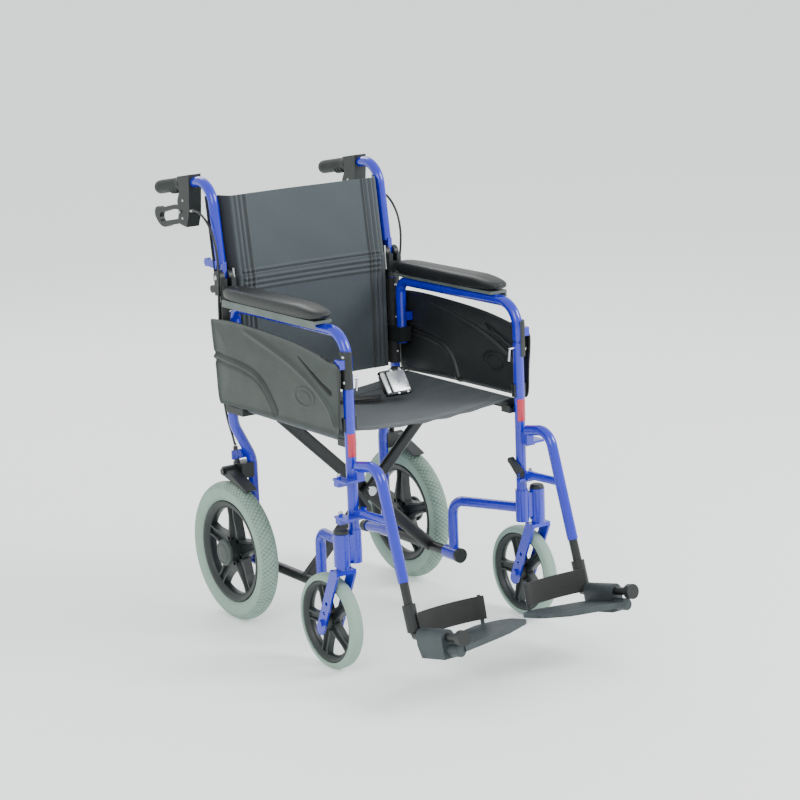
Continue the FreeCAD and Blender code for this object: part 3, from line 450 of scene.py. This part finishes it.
def rear_rim(side, sign):
    """Rim, five flared spokes, a stepped hub and its domed cap."""
    low, high = box_mm("rear_tyre_" + side)
    centre = (low + high) / 2 * [sign, 1, 1]
    form = Form()
    rim(form, centre, 110.0, 92.0, 14.0, 18.0)
    spokes(form, centre, (16.0, 94.5), (42.0, 21.0), 20.0, 6.5, inboard=5.0)
    barrel = np.array([(-24, 12), (-24, 21), (-22, 23), (-12, 24), (12, 24), (20, 24), (24, 22.5), (24, 12)])
    form.sheet(lathe(barrel, centre, 72), wrap_u=True, wrap_v=True)
    cap = np.array([(22, 0.01), (22, 27), (24, 28.5), (28, 28.5), (30, 27.5), (31, 25), (31.2, 21),
                    (30.6, 20), (31.6, 18.6), (32, 10), (32, 0.01)])
    piece = form.make("rear_rim_moulding_" + side, RIM_NYLON, sign, 35.0)
    fit(piece, "rear_wheel_" + side, "rim_plastic", "rear_rim_" + side)
    cover = Form().sheet(lathe(cap, centre, 72), wrap_u=True).make("hub_cap_" + side, HUB_GREY, sign, 35.0)
    fit(cover, "rear_wheel_" + side, "rim_plastic")


def caster(side, sign):
    """Solid tyre with a rounded crown: half-width times the fourth root of one minus height to the fourth;
    and its spoked rim."""
    low, high = box_mm("caster_tyre_" + side)
    centre = (low + high) / 2 * [sign, 1, 1]
    outer, half = (high - low)[2] / 2, (high - low)[0] / 2
    bend = np.linspace(-math.pi / 2, math.pi / 2, 24)
    crown = np.stack([half * np.sin(bend), 84 + (outer - 84) * np.sqrt(np.cos(bend).clip(0, 1))], 1)
    seams = np.abs(np.abs(crown[:, 0]) - half * 0.93) < 0.6
    crown[:, 1] -= seams * 0.8
    tyre = Form().sheet(lathe(crown, centre, 180), wrap_u=True, wrap_v=True)
    tyre = tyre.make("caster_tyre_skin_" + side, TYRE_GREY, sign, 80.0, "tread_depth")
    fit(tyre, "caster_wheel_" + side, "grey_tyre", "caster_tyre_" + side)
    form = Form()
    rim(form, centre, 84.0, 70.0, 11.0, 14.0)
    spokes(form, centre, (10.0, 72.0), (25.0, 18.0), 15.0, 4.5, start=0.35)
    hub = np.array([(-17, 5), (-17, 12), (-15.5, 14), (-8, 17), (8, 17), (15.5, 14), (17, 12), (17, 5)])
    form.sheet(lathe(hub, centre, 60), wrap_u=True, wrap_v=True)
    piece = form.make("caster_rim_moulding_" + side, RIM_NYLON, sign, flat_angle=35)
    fit(piece, "caster_wheel_" + side, "rim_plastic", "caster_rim_" + side)


# Armrests and side panels -------------------------------------------------------------------
def armrest_pad(side, sign):
    """Foam pad: a squarish ring (a circle whose cosine is raised to 0.62, flat below) carried along Y.
    Both ends draw in to nothing: one minus a high power of t, under a root, with the nose turned down."""
    low, high = box_mm("armrest_pad_" + side)
    one, other = low * [sign, 1, 1], high * [sign, 1, 1]
    low, high = np.minimum(one, other), np.maximum(one, other)
    middle, half = (low + high) / 2, (high - low) / 2
    t = np.sin(np.linspace(-math.pi / 2, math.pi / 2, 110))[:, None]
    turn = np.linspace(0, TURN, 72, endpoint=False)[None, :]
    plan = (1 - np.abs(t) ** 7).clip(0, 1) ** (1 / 2.6)
    side_on = (1 - np.abs(t) ** 9).clip(0, 1) ** (1 / 2.4)
    ring_x = np.sign(np.cos(turn)) * np.abs(np.cos(turn)) ** 0.62
    ring_z = np.sin(turn)
    ring_z = np.where(ring_z > 0, np.abs(ring_z) ** 0.72, -np.abs(ring_z) ** 0.35)
    nose = 1 - 0.22 * smoothstep((-t - 0.55) / 0.45)
    seam = 1.0 - 0.035 * np.exp(-((ring_z + 0.55) / 0.12) ** 2)
    x = middle[0] + half[0] * ring_x * plan * seam
    z = low[2] + half[2] * (1 + ring_z * side_on) * np.where(ring_z > 0, nose, 1.0)
    y = middle[1] + half[1] * t + 0 * turn
    form = Form().tube(np.stack([x, y, z], -1))
    pad = form.make("armrest_foam_" + side, PAD_SKIN, sign, flat_angle=70)
    fit(pad, "armrest_" + side, "arm_pad", "armrest_pad_" + side)


def coons(bottom, top, front, rear):
    """Patch between four edge lines: the sum of its two ruled surfaces less the corners' blend."""
    u = np.linspace(0, 1, len(bottom))[:, None, None]
    v = np.linspace(0, 1, len(front))[None, :, None]
    ruled = (1 - v) * bottom[:, None] + v * top[:, None] + (1 - u) * front[None] + u * rear[None]
    corners = (1 - u) * ((1 - v) * bottom[0] + v * top[0]) + u * ((1 - v) * bottom[-1] + v * top[-1])
    return ruled - corners


def side_panel(side, sign):
    """Moulded guard: a patch between its four edges, pushed out by a swell, a curved ridge, a rear
    step, a rolled border and a plain oval, and pushed in at the slot behind the ridge."""
    bottom = spaced(eased([(-158, 480), (-60, 480), (60, 479), (180, 476), (252, 473)]), 230)
    top = spaced(eased([(-152, 626), (-100, 636), (-40, 645), (60, 652), (200, 657), (286, 650)]), 230)
    front = spaced(eased([(-158, 480), (-181, 480), (-183, 540), (-190, 590), (-190, 622), (-152, 626)]), 120)
    rear = spaced(eased([(252, 473), (271, 473), (275, 560), (283, 610), (286, 650)]), 120)
    places = coons(bottom, top, front, rear)
    y, z = places[..., 0], places[..., 1]
    edge = spaced(np.vstack([bottom, rear, top[::-1], front[::-1]]), 160)
    border, _ = from_line(places, edge)
    ridge_line = eased([(170, 644), (80, 628), (-20, 603), (-105, 568), (-150, 535), (-164, 500)])
    ridge, along = from_line(places, ridge_line)
    step, _ = from_line(places, eased([(276, 572), (200, 570), (120, 560), (82, 538), (60, 508), (52, 490)]))
    slot, into = from_line(places, np.array([(-44, 619), (-154, 563)], float))
    oval = np.hypot((y + 66) / 34, (z - 541) / 19)
    swell = 5 * smoothstep(border / 60)
    out = swell + 5.0 * np.exp(-(ridge / 5.5) ** 2) * smoothstep(along * 4) + 3.4 * np.exp(-(step / 4) ** 2)
    out -= 2.6 * np.exp(-((step - 8) / 3.5) ** 2)
    out += 2.5 * np.exp(-(border / 5) ** 2)
    out -= 6.0 * smoothstep((1.2 + 4.6 * into - slot) / 1.6)
    out += 2.0 * np.exp(-((oval - 1) / 0.09) ** 2) + 1.4 * smoothstep((0.75 - oval) / 0.2)
    base = box_mm("side_panel_" + side) * [sign, 1, 1]
    x = base[:, 0].min() + out
    # Painted shade: the slot and the groove below the rear step are darkened through the shade mark; the
    # strip along the front edge is darkened as well.
    dark = smoothstep((1.4 + 4.4 * into - slot) / 1.4) + 0.55 * np.exp(-((step - 7) / 2.2) ** 2)
    dark += 0.8 * smoothstep((-176 - y) / 3)
    form = Form().sheet(np.stack([x, y, z], -1), mark=dark.clip(0, 1))
    panel = form.make("side_guard_" + side, PANEL_GREY, sign, 70.0)
    normals_out(panel, sign)
    # Painted shade: the wall's inner face takes black nylon as its second material, standing in for the
    # shadow inside the guard.
    panel.data.materials.append(BLACK_NYLON)
    wall = panel.modifiers.new("wall", "SOLIDIFY")
    wall.thickness, wall.offset, wall.material_offset = 3.0 * MM, -1.0, 1
    fit(panel, "armrest_" + side, "panel_plastic", "side_panel_" + side)


def normals_out(piece, sign):
    """Turns an open sheet over where its faces look inboard."""
    shell = bmesh.new()
    shell.from_mesh(piece.data)
    total = sum(face.normal.x * face.calc_area() for face in shell.faces)
    if total * sign < 0:
        bmesh.ops.reverse_faces(shell, faces=shell.faces)
    shell.to_mesh(piece.data)
    shell.free()


# Handles ------------------------------------------------------------------------------------
def grip(side, sign):
    """Rubber sleeve about the sloping handle: radius 14.6 with fine rings, four finger ridges
    pushed out beneath its front half, and a rounded end."""
    low, high = box_mm("grip_" + side)
    middle = (low + high) / 2 * [sign, 1, 1]
    way = np.array([0, math.cos(HANDLE_TILT), math.sin(HANDLE_TILT)])
    down = np.array([0, math.sin(HANDLE_TILT), -math.cos(HANDLE_TILT)])
    across = np.array([1.0, 0, 0])
    dome = 46 + 8 * np.sin(np.linspace(0, math.pi / 2, 12)[1:])
    along = np.concatenate([np.linspace(-54, 46, 150), dome])[:, None]
    turn = np.linspace(0, TURN, 64, endpoint=False)[None, :]
    end = np.sqrt(np.clip(1 - ((along - 46).clip(0) / 8) ** 2, 0, 1)) * 0.6 + 0.4 * (along < 54)
    beneath = smoothstep((np.cos(turn) - 0.25) / 0.6)
    waves = smoothstep(np.sin((along - 6) * TURN / 11) + 0.6) * smoothstep((20 - np.abs(along + 24)) / 4)
    rings = 0.35 * np.sin(along * TURN / 3.0) * (1 - beneath) * smoothstep((40 - np.abs(along)) / 3)
    collar = 1.2 * smoothstep((-46 - along) / 2)
    radius = (14.6 + 4.0 * waves * beneath + rings + collar) * end
    radius = np.maximum(radius, 0.02)
    grid = (middle + along[..., None] * way + radius[..., None]
            * (np.cos(turn)[..., None] * down + np.sin(turn)[..., None] * across))
    piece = Form().tube(grid).make("grip_sleeve_" + side, GRIP_RUBBER, sign, flat_angle=50)
    fit(piece, "upper_cane_" + side, "grip_rubber", "grip_" + side)


def screw_head(form, at, way, radius=4.0, height=1.8):
    """Domed head with a crossed recess: radius falls as a quarter circle from rim to crown."""
    way = np.array(way, float)
    way /= np.linalg.norm(way)
    across = np.cross(way, [0.3, 0.5, 0.8])
    across /= np.linalg.norm(across)
    over = np.cross(way, across)
    bend = np.linspace(0, math.pi / 2, 7)[:, None]
    turn = np.linspace(0, TURN, 24, endpoint=False)[None, :]
    cross = smoothstep((np.cos(turn * 4) - 0.2) * 2) * (bend > 0.9) * 0.35
    ring = radius * np.cos(bend).clip(0.004) + 0 * turn
    lift = height * (np.sin(bend) - cross)
    spoke = np.cos(turn)[..., None] * across + np.sin(turn)[..., None] * over
    grid = (np.array(at, float) + ring[..., None] * spoke
            + lift[..., None] * way)
    foot = grid[:1] - way * 1.5
    form.tube(np.concatenate([foot, grid]))


def fasteners(side, sign):
    """Plated screws on the hinges, housings and guards, the heads of the swing pins and the hinge's
    release rod, each set on its own body."""
    frame_set, cane_set, arm_set = Form(), Form(), Form()
    for z in (706.0, 724.0):
        screw_head(frame_set, (CANE_X + 15.6, 262, z), (1, 0, 0), 3.6)
    screw_head(frame_set, (CANE_X + 17.6, 270, 738), (1, 0, 0), 5.0, 2.2)
    screw_head(frame_set, (CANE_X - 17.6, 270, 738), (-1, 0, 0), 5.0, 2.2)
    for z in (668.0, 596.0, 520.0):
        screw_head(frame_set, (CANE_X, 245.6, z), (0, -1, 0), 3.2)
    for y, z in ((392.0, 888.0), (408.0, 862.0), (396.0, 850.0)):
        screw_head(cane_set, (CANE_X + 14.8, y, z), (1, 0, 0), 2.8)
        screw_head(cane_set, (CANE_X - 14.8, y, z), (-1, 0, 0), 2.8)
    for z in (636.0, 586.0):
        screw_head(arm_set, (CANE_X + 13.6, -186, z), (1, -0.3, 0), 3.2)
    for z in (403.0, 327.0):
        screw_head(frame_set, (SWING_PIN[0], SWING_PIN[1], z), (0, 0, 1), 4.6, 3.0)
    rod = spaced(np.array([(CANE_X - 18.5, 256, 756), (CANE_X - 18.5, 252, 704)], float), 6)
    frame_set.tube(swept(rod, 2.8, 12, up=(0, 1, 0)))
    sets = ((frame_set, "frame_screws_", side + "_frame"), (cane_set, "cane_screws_", "upper_cane_" + side),
            (arm_set, "armrest_screws_", "armrest_" + side))
    for form, name, body in sets:
        fit(form.make(name + side, BRIGHT_STEEL, sign, 35.0), body, "bright_steel")


def brake_spring(side, sign):
    """Return spring on the cable under its adjuster: a helix of 0.8 mm wire, radius 4, eight turns."""
    t = np.linspace(0, 1, 260)
    path = np.stack([202 + 4 * np.cos(t * TURN * 8), 268 + 4 * np.sin(t * TURN * 8), 340 + 26 * t], 1)
    form = Form().tube(swept(path, 0.7, 8))
    rod_path = np.array([(202, 268, 336), (202, 268, 380)], float)
    form.tube(swept(spaced(rod_path, 4), 1.2, 10, up=(0, 1, 0)))
    fit(form.make("brake_spring_" + side, BRIGHT_STEEL, sign), side + "_frame", "bright_steel")


def band(name, material, sign, low, high, radius, middle, half_turn):
    """Part of a thin sleeve about the front upright, its ends and edges drawn in by 0.3 mm."""
    turn = (middle + np.linspace(-half_turn, half_turn, 40))[:, None]
    z = np.array([low, low + 1, high - 1, high], float)[None, :]
    wall = radius + np.array([0.0, 0.3, 0.3, 0.0])[None, :]
    grid = np.stack([CANE_X + wall * np.cos(turn), -180 + wall * np.sin(turn), z + 0 * turn], -1)
    made = Form().sheet(grid).make(name, material, sign, 70.0)
    shell = made.modifiers.new("wall", "SOLIDIFY")
    shell.thickness, shell.offset = 0.3 * MM, 0.0
    return made


def bands(side, sign):
    """Plain red vinyl on the front of the upright, and the black face of the armrest's keeper."""
    red = band("red_band_" + side, RED_VINYL, sign, 437, 483, TUBE_R + 0.1, -math.pi / 2, 0.34 * math.pi)
    fit(red, side + "_frame", "trim_plastic")
    keeper = band("keeper_face_" + side, BLACK_NYLON, sign, 572.5, 646.5, 14.1, -0.55, 1.2)
    fit(keeper, "armrest_" + side, "trim_plastic")


def cable(side, sign):
    """Outer cable on one smooth line from the housing, bowed out past the cane, to the brake."""
    curve = bpy.data.curves.new("route", "CURVE")
    curve.dimensions = "3D"
    spline = curve.splines.new("NURBS")
    spline.points.add(len(CABLE_ROUTE) - 1)
    for point, place in zip(spline.points, CABLE_ROUTE):
        point.co = (place[0] * MM * sign, place[1] * MM, place[2] * MM, 1)
    spline.order_u, spline.use_endpoint_u, spline.resolution_u = 3, True, 10
    holder = bpy.data.objects.new("route", curve)
    bpy.context.scene.collection.objects.link(holder)
    line = bpy.data.meshes.new_from_object(holder)
    path = np.array([v.co for v in line.vertices]) / MM * [sign, 1, 1]
    bpy.data.objects.remove(holder)
    form = Form().tube(swept(path, 2.5, 14, up=(1, 0.05, 0)))
    piece = form.make("brake_cable_outer_" + side, CABLE_SKIN, sign, flat_angle=70)
    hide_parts("brake_cable_" + side)
    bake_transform(piece)
    ends = Form()
    start = path[:1] + (path[1] - path[0]) / np.linalg.norm(path[1] - path[0]) * np.array([[-4.0], [12.0]])
    ends.tube(swept(spaced(start, 5), 3.4, 16, up=(1, 0.05, 0)))
    fit(ends.make("cable_ferrule_" + side, BRIGHT_STEEL, sign), "upper_cane_" + side, "bright_steel")


# Upholstery ---------------------------------------------------------------------------------
def seat_cloth():
    """Sling between the two rails: it goes round each rail, then sags by 20 mm times one minus
    the square of x. Its front hem is drawn up a little, and it puckers along the rails."""
    _, high_rail = box_mm("cross_arm_a")
    rail_x, rail_z, rail_r = 203.0, high_rail[2] - TUBE_R, TUBE_R + 0.9
    y = np.concatenate([np.linspace(-165, -100, 40), np.linspace(-98, 206, 90)])[None, :]
    x_span = np.linspace(-1, 1, 150)[1:-1]
    across = np.abs(x_span)[:, None]
    lip = smoothstep((-y - 105) / 60)
    sag = 20 * (1 - x_span[:, None] ** 2) - 6 * lip * (1 - across ** 2)
    folds = 1.1 * np.sin(y / 9.0 + 3 * np.sin(x_span[:, None] * 4)) * smoothstep((across - 0.72) / 0.25)
    folds += 1.4 * np.sin(x_span[:, None] * 21 + y / 30) * lip * (1 - across)
    channel = -1.6 * np.exp(-((y - 150) / 3) ** 2) - 1.2 * np.exp(-((y + 152) / 2.5) ** 2)
    z = rail_z + rail_r - sag + (folds + channel) * (1 - across ** 6)
    middle = np.stack([rail_x * x_span[:, None] + 0 * y, y + 0 * z, z], -1)
    turn = np.linspace(-1.25 * math.pi, 0, 22)[:, None]
    tuck = np.stack([-rail_x + rail_r * np.sin(turn) + 0 * y, y + 0 * turn,
                     rail_z + rail_r * np.cos(turn) + 0 * y], -1)
    far = tuck[::-1] * [-1, 1, 1]
    grid = np.concatenate([tuck[:-1], middle, far[1:]])
    run = np.linspace(-250, 250, len(grid))[:, None]
    flat = np.stack([run + 0 * y, y + 0 * run], -1)
    cloth = Form().sheet(grid, flat=flat).make("seat_cloth", SEAT_CLOTH, flat_angle=80)
    wall = cloth.modifiers.new("wall", "SOLIDIFY")
    wall.thickness, wall.offset = 1.4 * MM, 0.0
    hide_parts("seat_sling")
    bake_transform(cloth)


def back_cloth(name, node, body, low, high, front, lean, behind, rows, lines):
    """Back panel: nearly flat between the canes with a shallow hollow, three piped ribs up each side,
    piped lines across it, and its dark edges carried round behind the canes. The width is the
    unrolled one in metres; the front is a point the panel passes through, as depth and height."""
    z = np.linspace(low, high, rows)[None, :]
    x = np.concatenate([np.linspace(-223, -140, 84), np.linspace(-138, 138, 60),
                        np.linspace(140, 223, 84)])[:, None]
    edge = np.abs(x)
    y = front[0] + (z - front[1]) * lean
    y = y + 6 * (1 - (x / 180) ** 2).clip(0)
    y = y + behind * smoothstep((edge - 181) / 21)
    ribs = sum(np.exp(-((edge - rib) / 2.6) ** 2) for rib in (148.0, 159.0, 170.0)) + 0 * z
    panel = smoothstep((176 - edge) / 2)
    pipes = sum(np.exp(-((z - at) / 2.0) ** 2) for at in lines) * panel
    y = y - 2.4 * ribs - 2.0 * pipes
    y = y + 0.9 * np.sin(x / 27 + z / 41) * np.sin(z / 33) * smoothstep((140 - edge) / 60)
    # Painted shade: the grooves beside each rib and just below each piped line are darkened through the shade
    # mark; the dark edges past the ribs are the cloth's own colour.
    grooves = sum(np.exp(-((edge - rib - 4.6) / 2.2) ** 2) for rib in (143.0, 148.0, 159.0, 170.0)) + 0 * z
    grooves = grooves + sum(np.exp(-((z - at + 4.0) / 1.7) ** 2) for at in lines) * panel
    dark = 0.85 * grooves + 0.8 * smoothstep((edge - 180) / 6)
    grid = np.stack([x + 0 * z, y, z + 0 * x], -1)
    flat = np.stack([x + 0 * z, z + 0 * x], -1)
    cloth = Form().sheet(grid, flat=flat, mark=dark.clip(0, 1)).make(name, BACK_CLOTH, flat_angle=80.0)
    wall = cloth.modifiers.new("wall", "SOLIDIFY")
    wall.thickness, wall.offset = 1.6 * MM, 0.0
    fit(cloth, body, "nylon", node)
    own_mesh(cloth)


def cane_sleeve(side, sign):
    """Black cloth sleeve drawn over the lower cane: radius 12.4 with shallow gathers along it."""
    z = np.linspace(494, 684, 90)[:, None]
    turn = np.linspace(0, TURN, 40, endpoint=False)[None, :]
    radius = 12.3 + 0.35 * np.sin(z / 3.7 + 2 * np.sin(turn)) + 0.5 * np.exp(-((z - 494) / 3) ** 2)
    grid = np.stack([CANE_X + radius * np.cos(turn), 258 + radius * np.sin(turn), z + 0 * turn], -1)
    flat = np.stack([12.3 * turn + 0 * z, z + 0 * turn], -1)
    form = Form().sheet(grid, wrap_v=True, flat=flat)
    sleeve = form.make("cane_sleeve_" + side, WEBBING, sign, flat_angle=70)
    wall = sleeve.modifiers.new("wall", "SOLIDIFY")
    wall.thickness, wall.offset = 1.0 * MM, -1.0
    fit(sleeve, side + "_frame", "webbing")


def ribbon(path, way, width, thick, count=60):
    """A flat strap about a line: its width lies along one direction, its wall is square to both.
    Also returns its cloth map: distance along the strap and distance across it."""
    line = spaced(eased(path), count)
    ahead = np.gradient(line, axis=0)
    ahead /= np.linalg.norm(ahead, axis=1)[:, None]
    way = np.array(way, float) / np.linalg.norm(way)
    wide = way - (ahead @ way)[:, None] * ahead
    wide /= np.linalg.norm(wide, axis=1)[:, None]
    up = np.cross(ahead, wide)
    share = np.array([(-1, -1), (-0.94, -1), (0, -1), (0.94, -1), (1, -1),
                      (1, 1), (0.94, 1), (0, 1), (-0.94, 1), (-1, 1)])
    side = wide[:, None] * share[None, :, :1] * width / 2
    wall = up[:, None] * share[None, :, 1:] * thick / 2
    grid = line[:, None] + side + wall
    run = np.concatenate([[0], np.cumsum(np.linalg.norm(np.diff(line, axis=0), axis=1))])[:, None]
    reach = share[None, :, 0] * width / 2
    return grid, np.stack([run + 0 * reach, reach + 0 * run], -1)


def lap_belt():
    """Two lengths of 36 mm webbing from the rear posts to the buckle, lying in the seat's sag."""
    form = Form()
    left_run = [(192, 212, 492), (150, 190, 484), (110, 120, 476), (88, 74, 476)]
    right_run = [(-192, 212, 492), (-120, 180, 480), (-40, 120, 471), (34, 62, 476)]
    form.tube(*ribbon(left_run, (0.6, -0.7, 0), 36, 1.8))
    form.tube(*ribbon(right_run, (0.5, 0.7, 0), 36, 1.8))
    belt = form.make("lap_belt_webbing", WEBBING, flat_angle=30)
    fit(belt, "right_frame", "webbing", "lap_belt")
    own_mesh(belt)


def slab(form, centre, half, corner, frame_axes):
    """Plate with rounded corners: in plan a circle whose cosine and sine are raised to the corner
    power, with its edges eased by two steps."""
    turn = np.linspace(0, TURN, 48, endpoint=False)
    plan = np.stack([np.sign(np.cos(turn)) * np.abs(np.cos(turn)) ** corner,
                     np.sign(np.sin(turn)) * np.abs(np.sin(turn)) ** corner], 1)
    steps = [(-1.0, 0.8), (-0.8, 0.0), (0.8, 0.0), (1.0, 0.8)]
    rings = [plan * (np.array(half[:2]) - inset) for _, inset in steps]
    heights = [level * half[2] for level, _ in steps]
    grid = np.stack([np.column_stack([ring, np.full(len(ring), height)])
                     for ring, height in zip(rings, heights)])
    form.tube((grid + np.array(centre)) @ frame_axes[0].T + frame_axes[1])


def buckle():
    """Lift-lever buckle: black body, plated lever in two parts with a dark gap, and side rails."""
    turn = np.array(Matrix.Rotation(math.radians(-4), 3, "Z") @ Matrix.Rotation(math.radians(53), 3, "X"))
    axes = (turn, np.array([60.0, 44.0, 508.0]))
    body, plate = Form(), Form()
    slab(body, (0, 0, -8), (30, 27, 5.5), 0.35, axes)
    slab(body, (0, -26, -5), (31, 3, 5), 0.35, axes)
    slab(body, (0, 25, -5), (31, 3, 5), 0.35, axes)
    slab(plate, (7, 0, -1.5), (21.5, 24, 1.6), 0.16, axes)
    slab(plate, (-24, 0, -1.5), (5, 24, 1.6), 0.2, axes)
    for x in (-2, 20):
        slab(plate, (x, 26, -1.5), (3, 3.5, 2.4), 0.4, axes)
        slab(plate, (x, -26, -1.5), (3, 3.5, 2.4), 0.4, axes)
    case = body.make("buckle_body", BLACK_NYLON, flat_angle=35)
    lever = plate.make("buckle_lever", BRIGHT_STEEL, flat_angle=35)
    for piece in (case, lever):
        fit(piece, "cross_a", "buckle_steel")
    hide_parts("belt_buckle")


def heel_strap(side, sign):
    """Wide black band from the stem's clamp to the post, bowed back, looped round the post."""
    at = [on_foot(4, 21, 207), on_foot(-6, 21, 170), on_foot(-9, 21, 120), on_foot(-4, 21, 78),
          on_foot(5, 21, 58), on_foot(6.5, 21, 51)]
    tilt = on_foot(0, 1, 0) - on_foot(0, 0, 0)
    strap = Form().tube(*ribbon(at, tilt, 46, 2.2, 80)).make("heel_band_" + side, WEBBING, sign, 30.0)
    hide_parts("heel_strap_" + side)
    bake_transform(strap)


for side_name, side_sign in SIDES.items():
    rear_tyre(side_name, side_sign)
    rear_rim(side_name, side_sign)
    caster(side_name, side_sign)
    armrest_pad(side_name, side_sign)
    side_panel(side_name, side_sign)
    grip(side_name, side_sign)
    fasteners(side_name, side_sign)
    brake_spring(side_name, side_sign)
    bands(side_name, side_sign)
    cable(side_name, side_sign)
    cane_sleeve(side_name, side_sign)
    heel_strap(side_name, side_sign)
seat_cloth()
back_cloth("back_cloth_lower", "back_lower", "right_frame", low=492.0, high=741.0,
           front=(245.0, 738.0), lean=0.0, behind=26.0, rows=160, lines=(731.0, 720.0, 709.0))
back_cloth("back_cloth_upper", "back_upper", "upper_cane_right", low=737.0, high=905.0,
           front=(246.4, 738.0), lean=0.1347, behind=36.0, rows=110, lines=(747.0,))
lap_belt()
buckle()


# Studio -------------------------------------------------------------------------------------
def studio():
    """Pale floor, even sky, a broad key from the upper right and a softer fill from the left."""
    span = 90.0
    mesh = bpy.data.meshes.new("floor")
    corners = [(-span, -span, 0), (span, -span, 0), (span, span, 0), (-span, span, 0)]
    mesh.from_pydata(corners, [], [(0, 1, 2, 3)])
    floor = bpy.data.objects.new("floor", mesh)
    bpy.context.scene.collection.objects.link(floor)
    glow = {"Emission Color": linear("#EEF4F0"), "Emission Strength": 0.35}
    made, tree, shader = start_material("studio_floor", Roughness=0.7, **glow)
    place = add(tree, "TexCoord").outputs["Object"]
    cloud = add(tree, "TexNoise", {"Vector": place, "Scale": 1.5, "Detail": 2.0}).outputs[0]
    tree.links.new(tint(tree, cloud, "#E9EEEB", "#ECF0EE"), shader.inputs["Base Color"])
    mesh.materials.append(made)
    world = bpy.data.worlds.new("studio")
    bpy.context.scene.world = world
    world.use_nodes = True
    sky = world.node_tree.nodes["Background"]
    sky.inputs[0].default_value = linear("#EEF2F0")
    sky.inputs[1].default_value = 1.45
    lights = (("key", (2.4, -2.6, 3.0), 1.6, 150.0), ("fill", (-3.2, -2.0, 2.6), 2.0, 60.0),
              ("rim", (0.5, 3.0, 3.2), 2.0, 60.0))
    for name, place, size, power in lights:
        data = bpy.data.lights.new(name, "AREA")
        data.size, data.energy = size, power
        light = bpy.data.objects.new(name, data)
        light.location = place
        light.rotation_euler = (Vector((0, 0, 0.45)) - Vector(place)).to_track_quat("-Z", "Y").to_euler()
        bpy.context.scene.collection.objects.link(light)


def camera():
    """Camera at the viewing angle: turned round the chair, raised, and rolled a little."""
    turn, rise, roll = math.radians(-35.251), math.radians(12.866), math.radians(-2.171)
    target, away = Vector((0, -0.060, 0.505036)), 4.555789
    back = Vector((math.sin(turn) * math.cos(rise), -math.cos(turn) * math.cos(rise), math.sin(rise)))
    right = (-back).cross(Vector((0, 0, 1))).normalized()
    up = right.cross(-back)
    right, up = right * math.cos(roll) + up * math.sin(roll), up * math.cos(roll) - right * math.sin(roll)
    data = bpy.data.cameras.new("camera")
    data.sensor_width, data.lens = 36.0, 2233.546 * 36.0 / 800.0
    data.shift_x, data.shift_y = -0.001875, -0.00625
    made = bpy.data.objects.new("camera", data)
    place = Matrix((right, up, back)).transposed().to_4x4()
    place.translation = target + back * away
    made.matrix_world = place
    bpy.context.scene.collection.objects.link(made)
    bpy.context.scene.camera = made


studio()
camera()
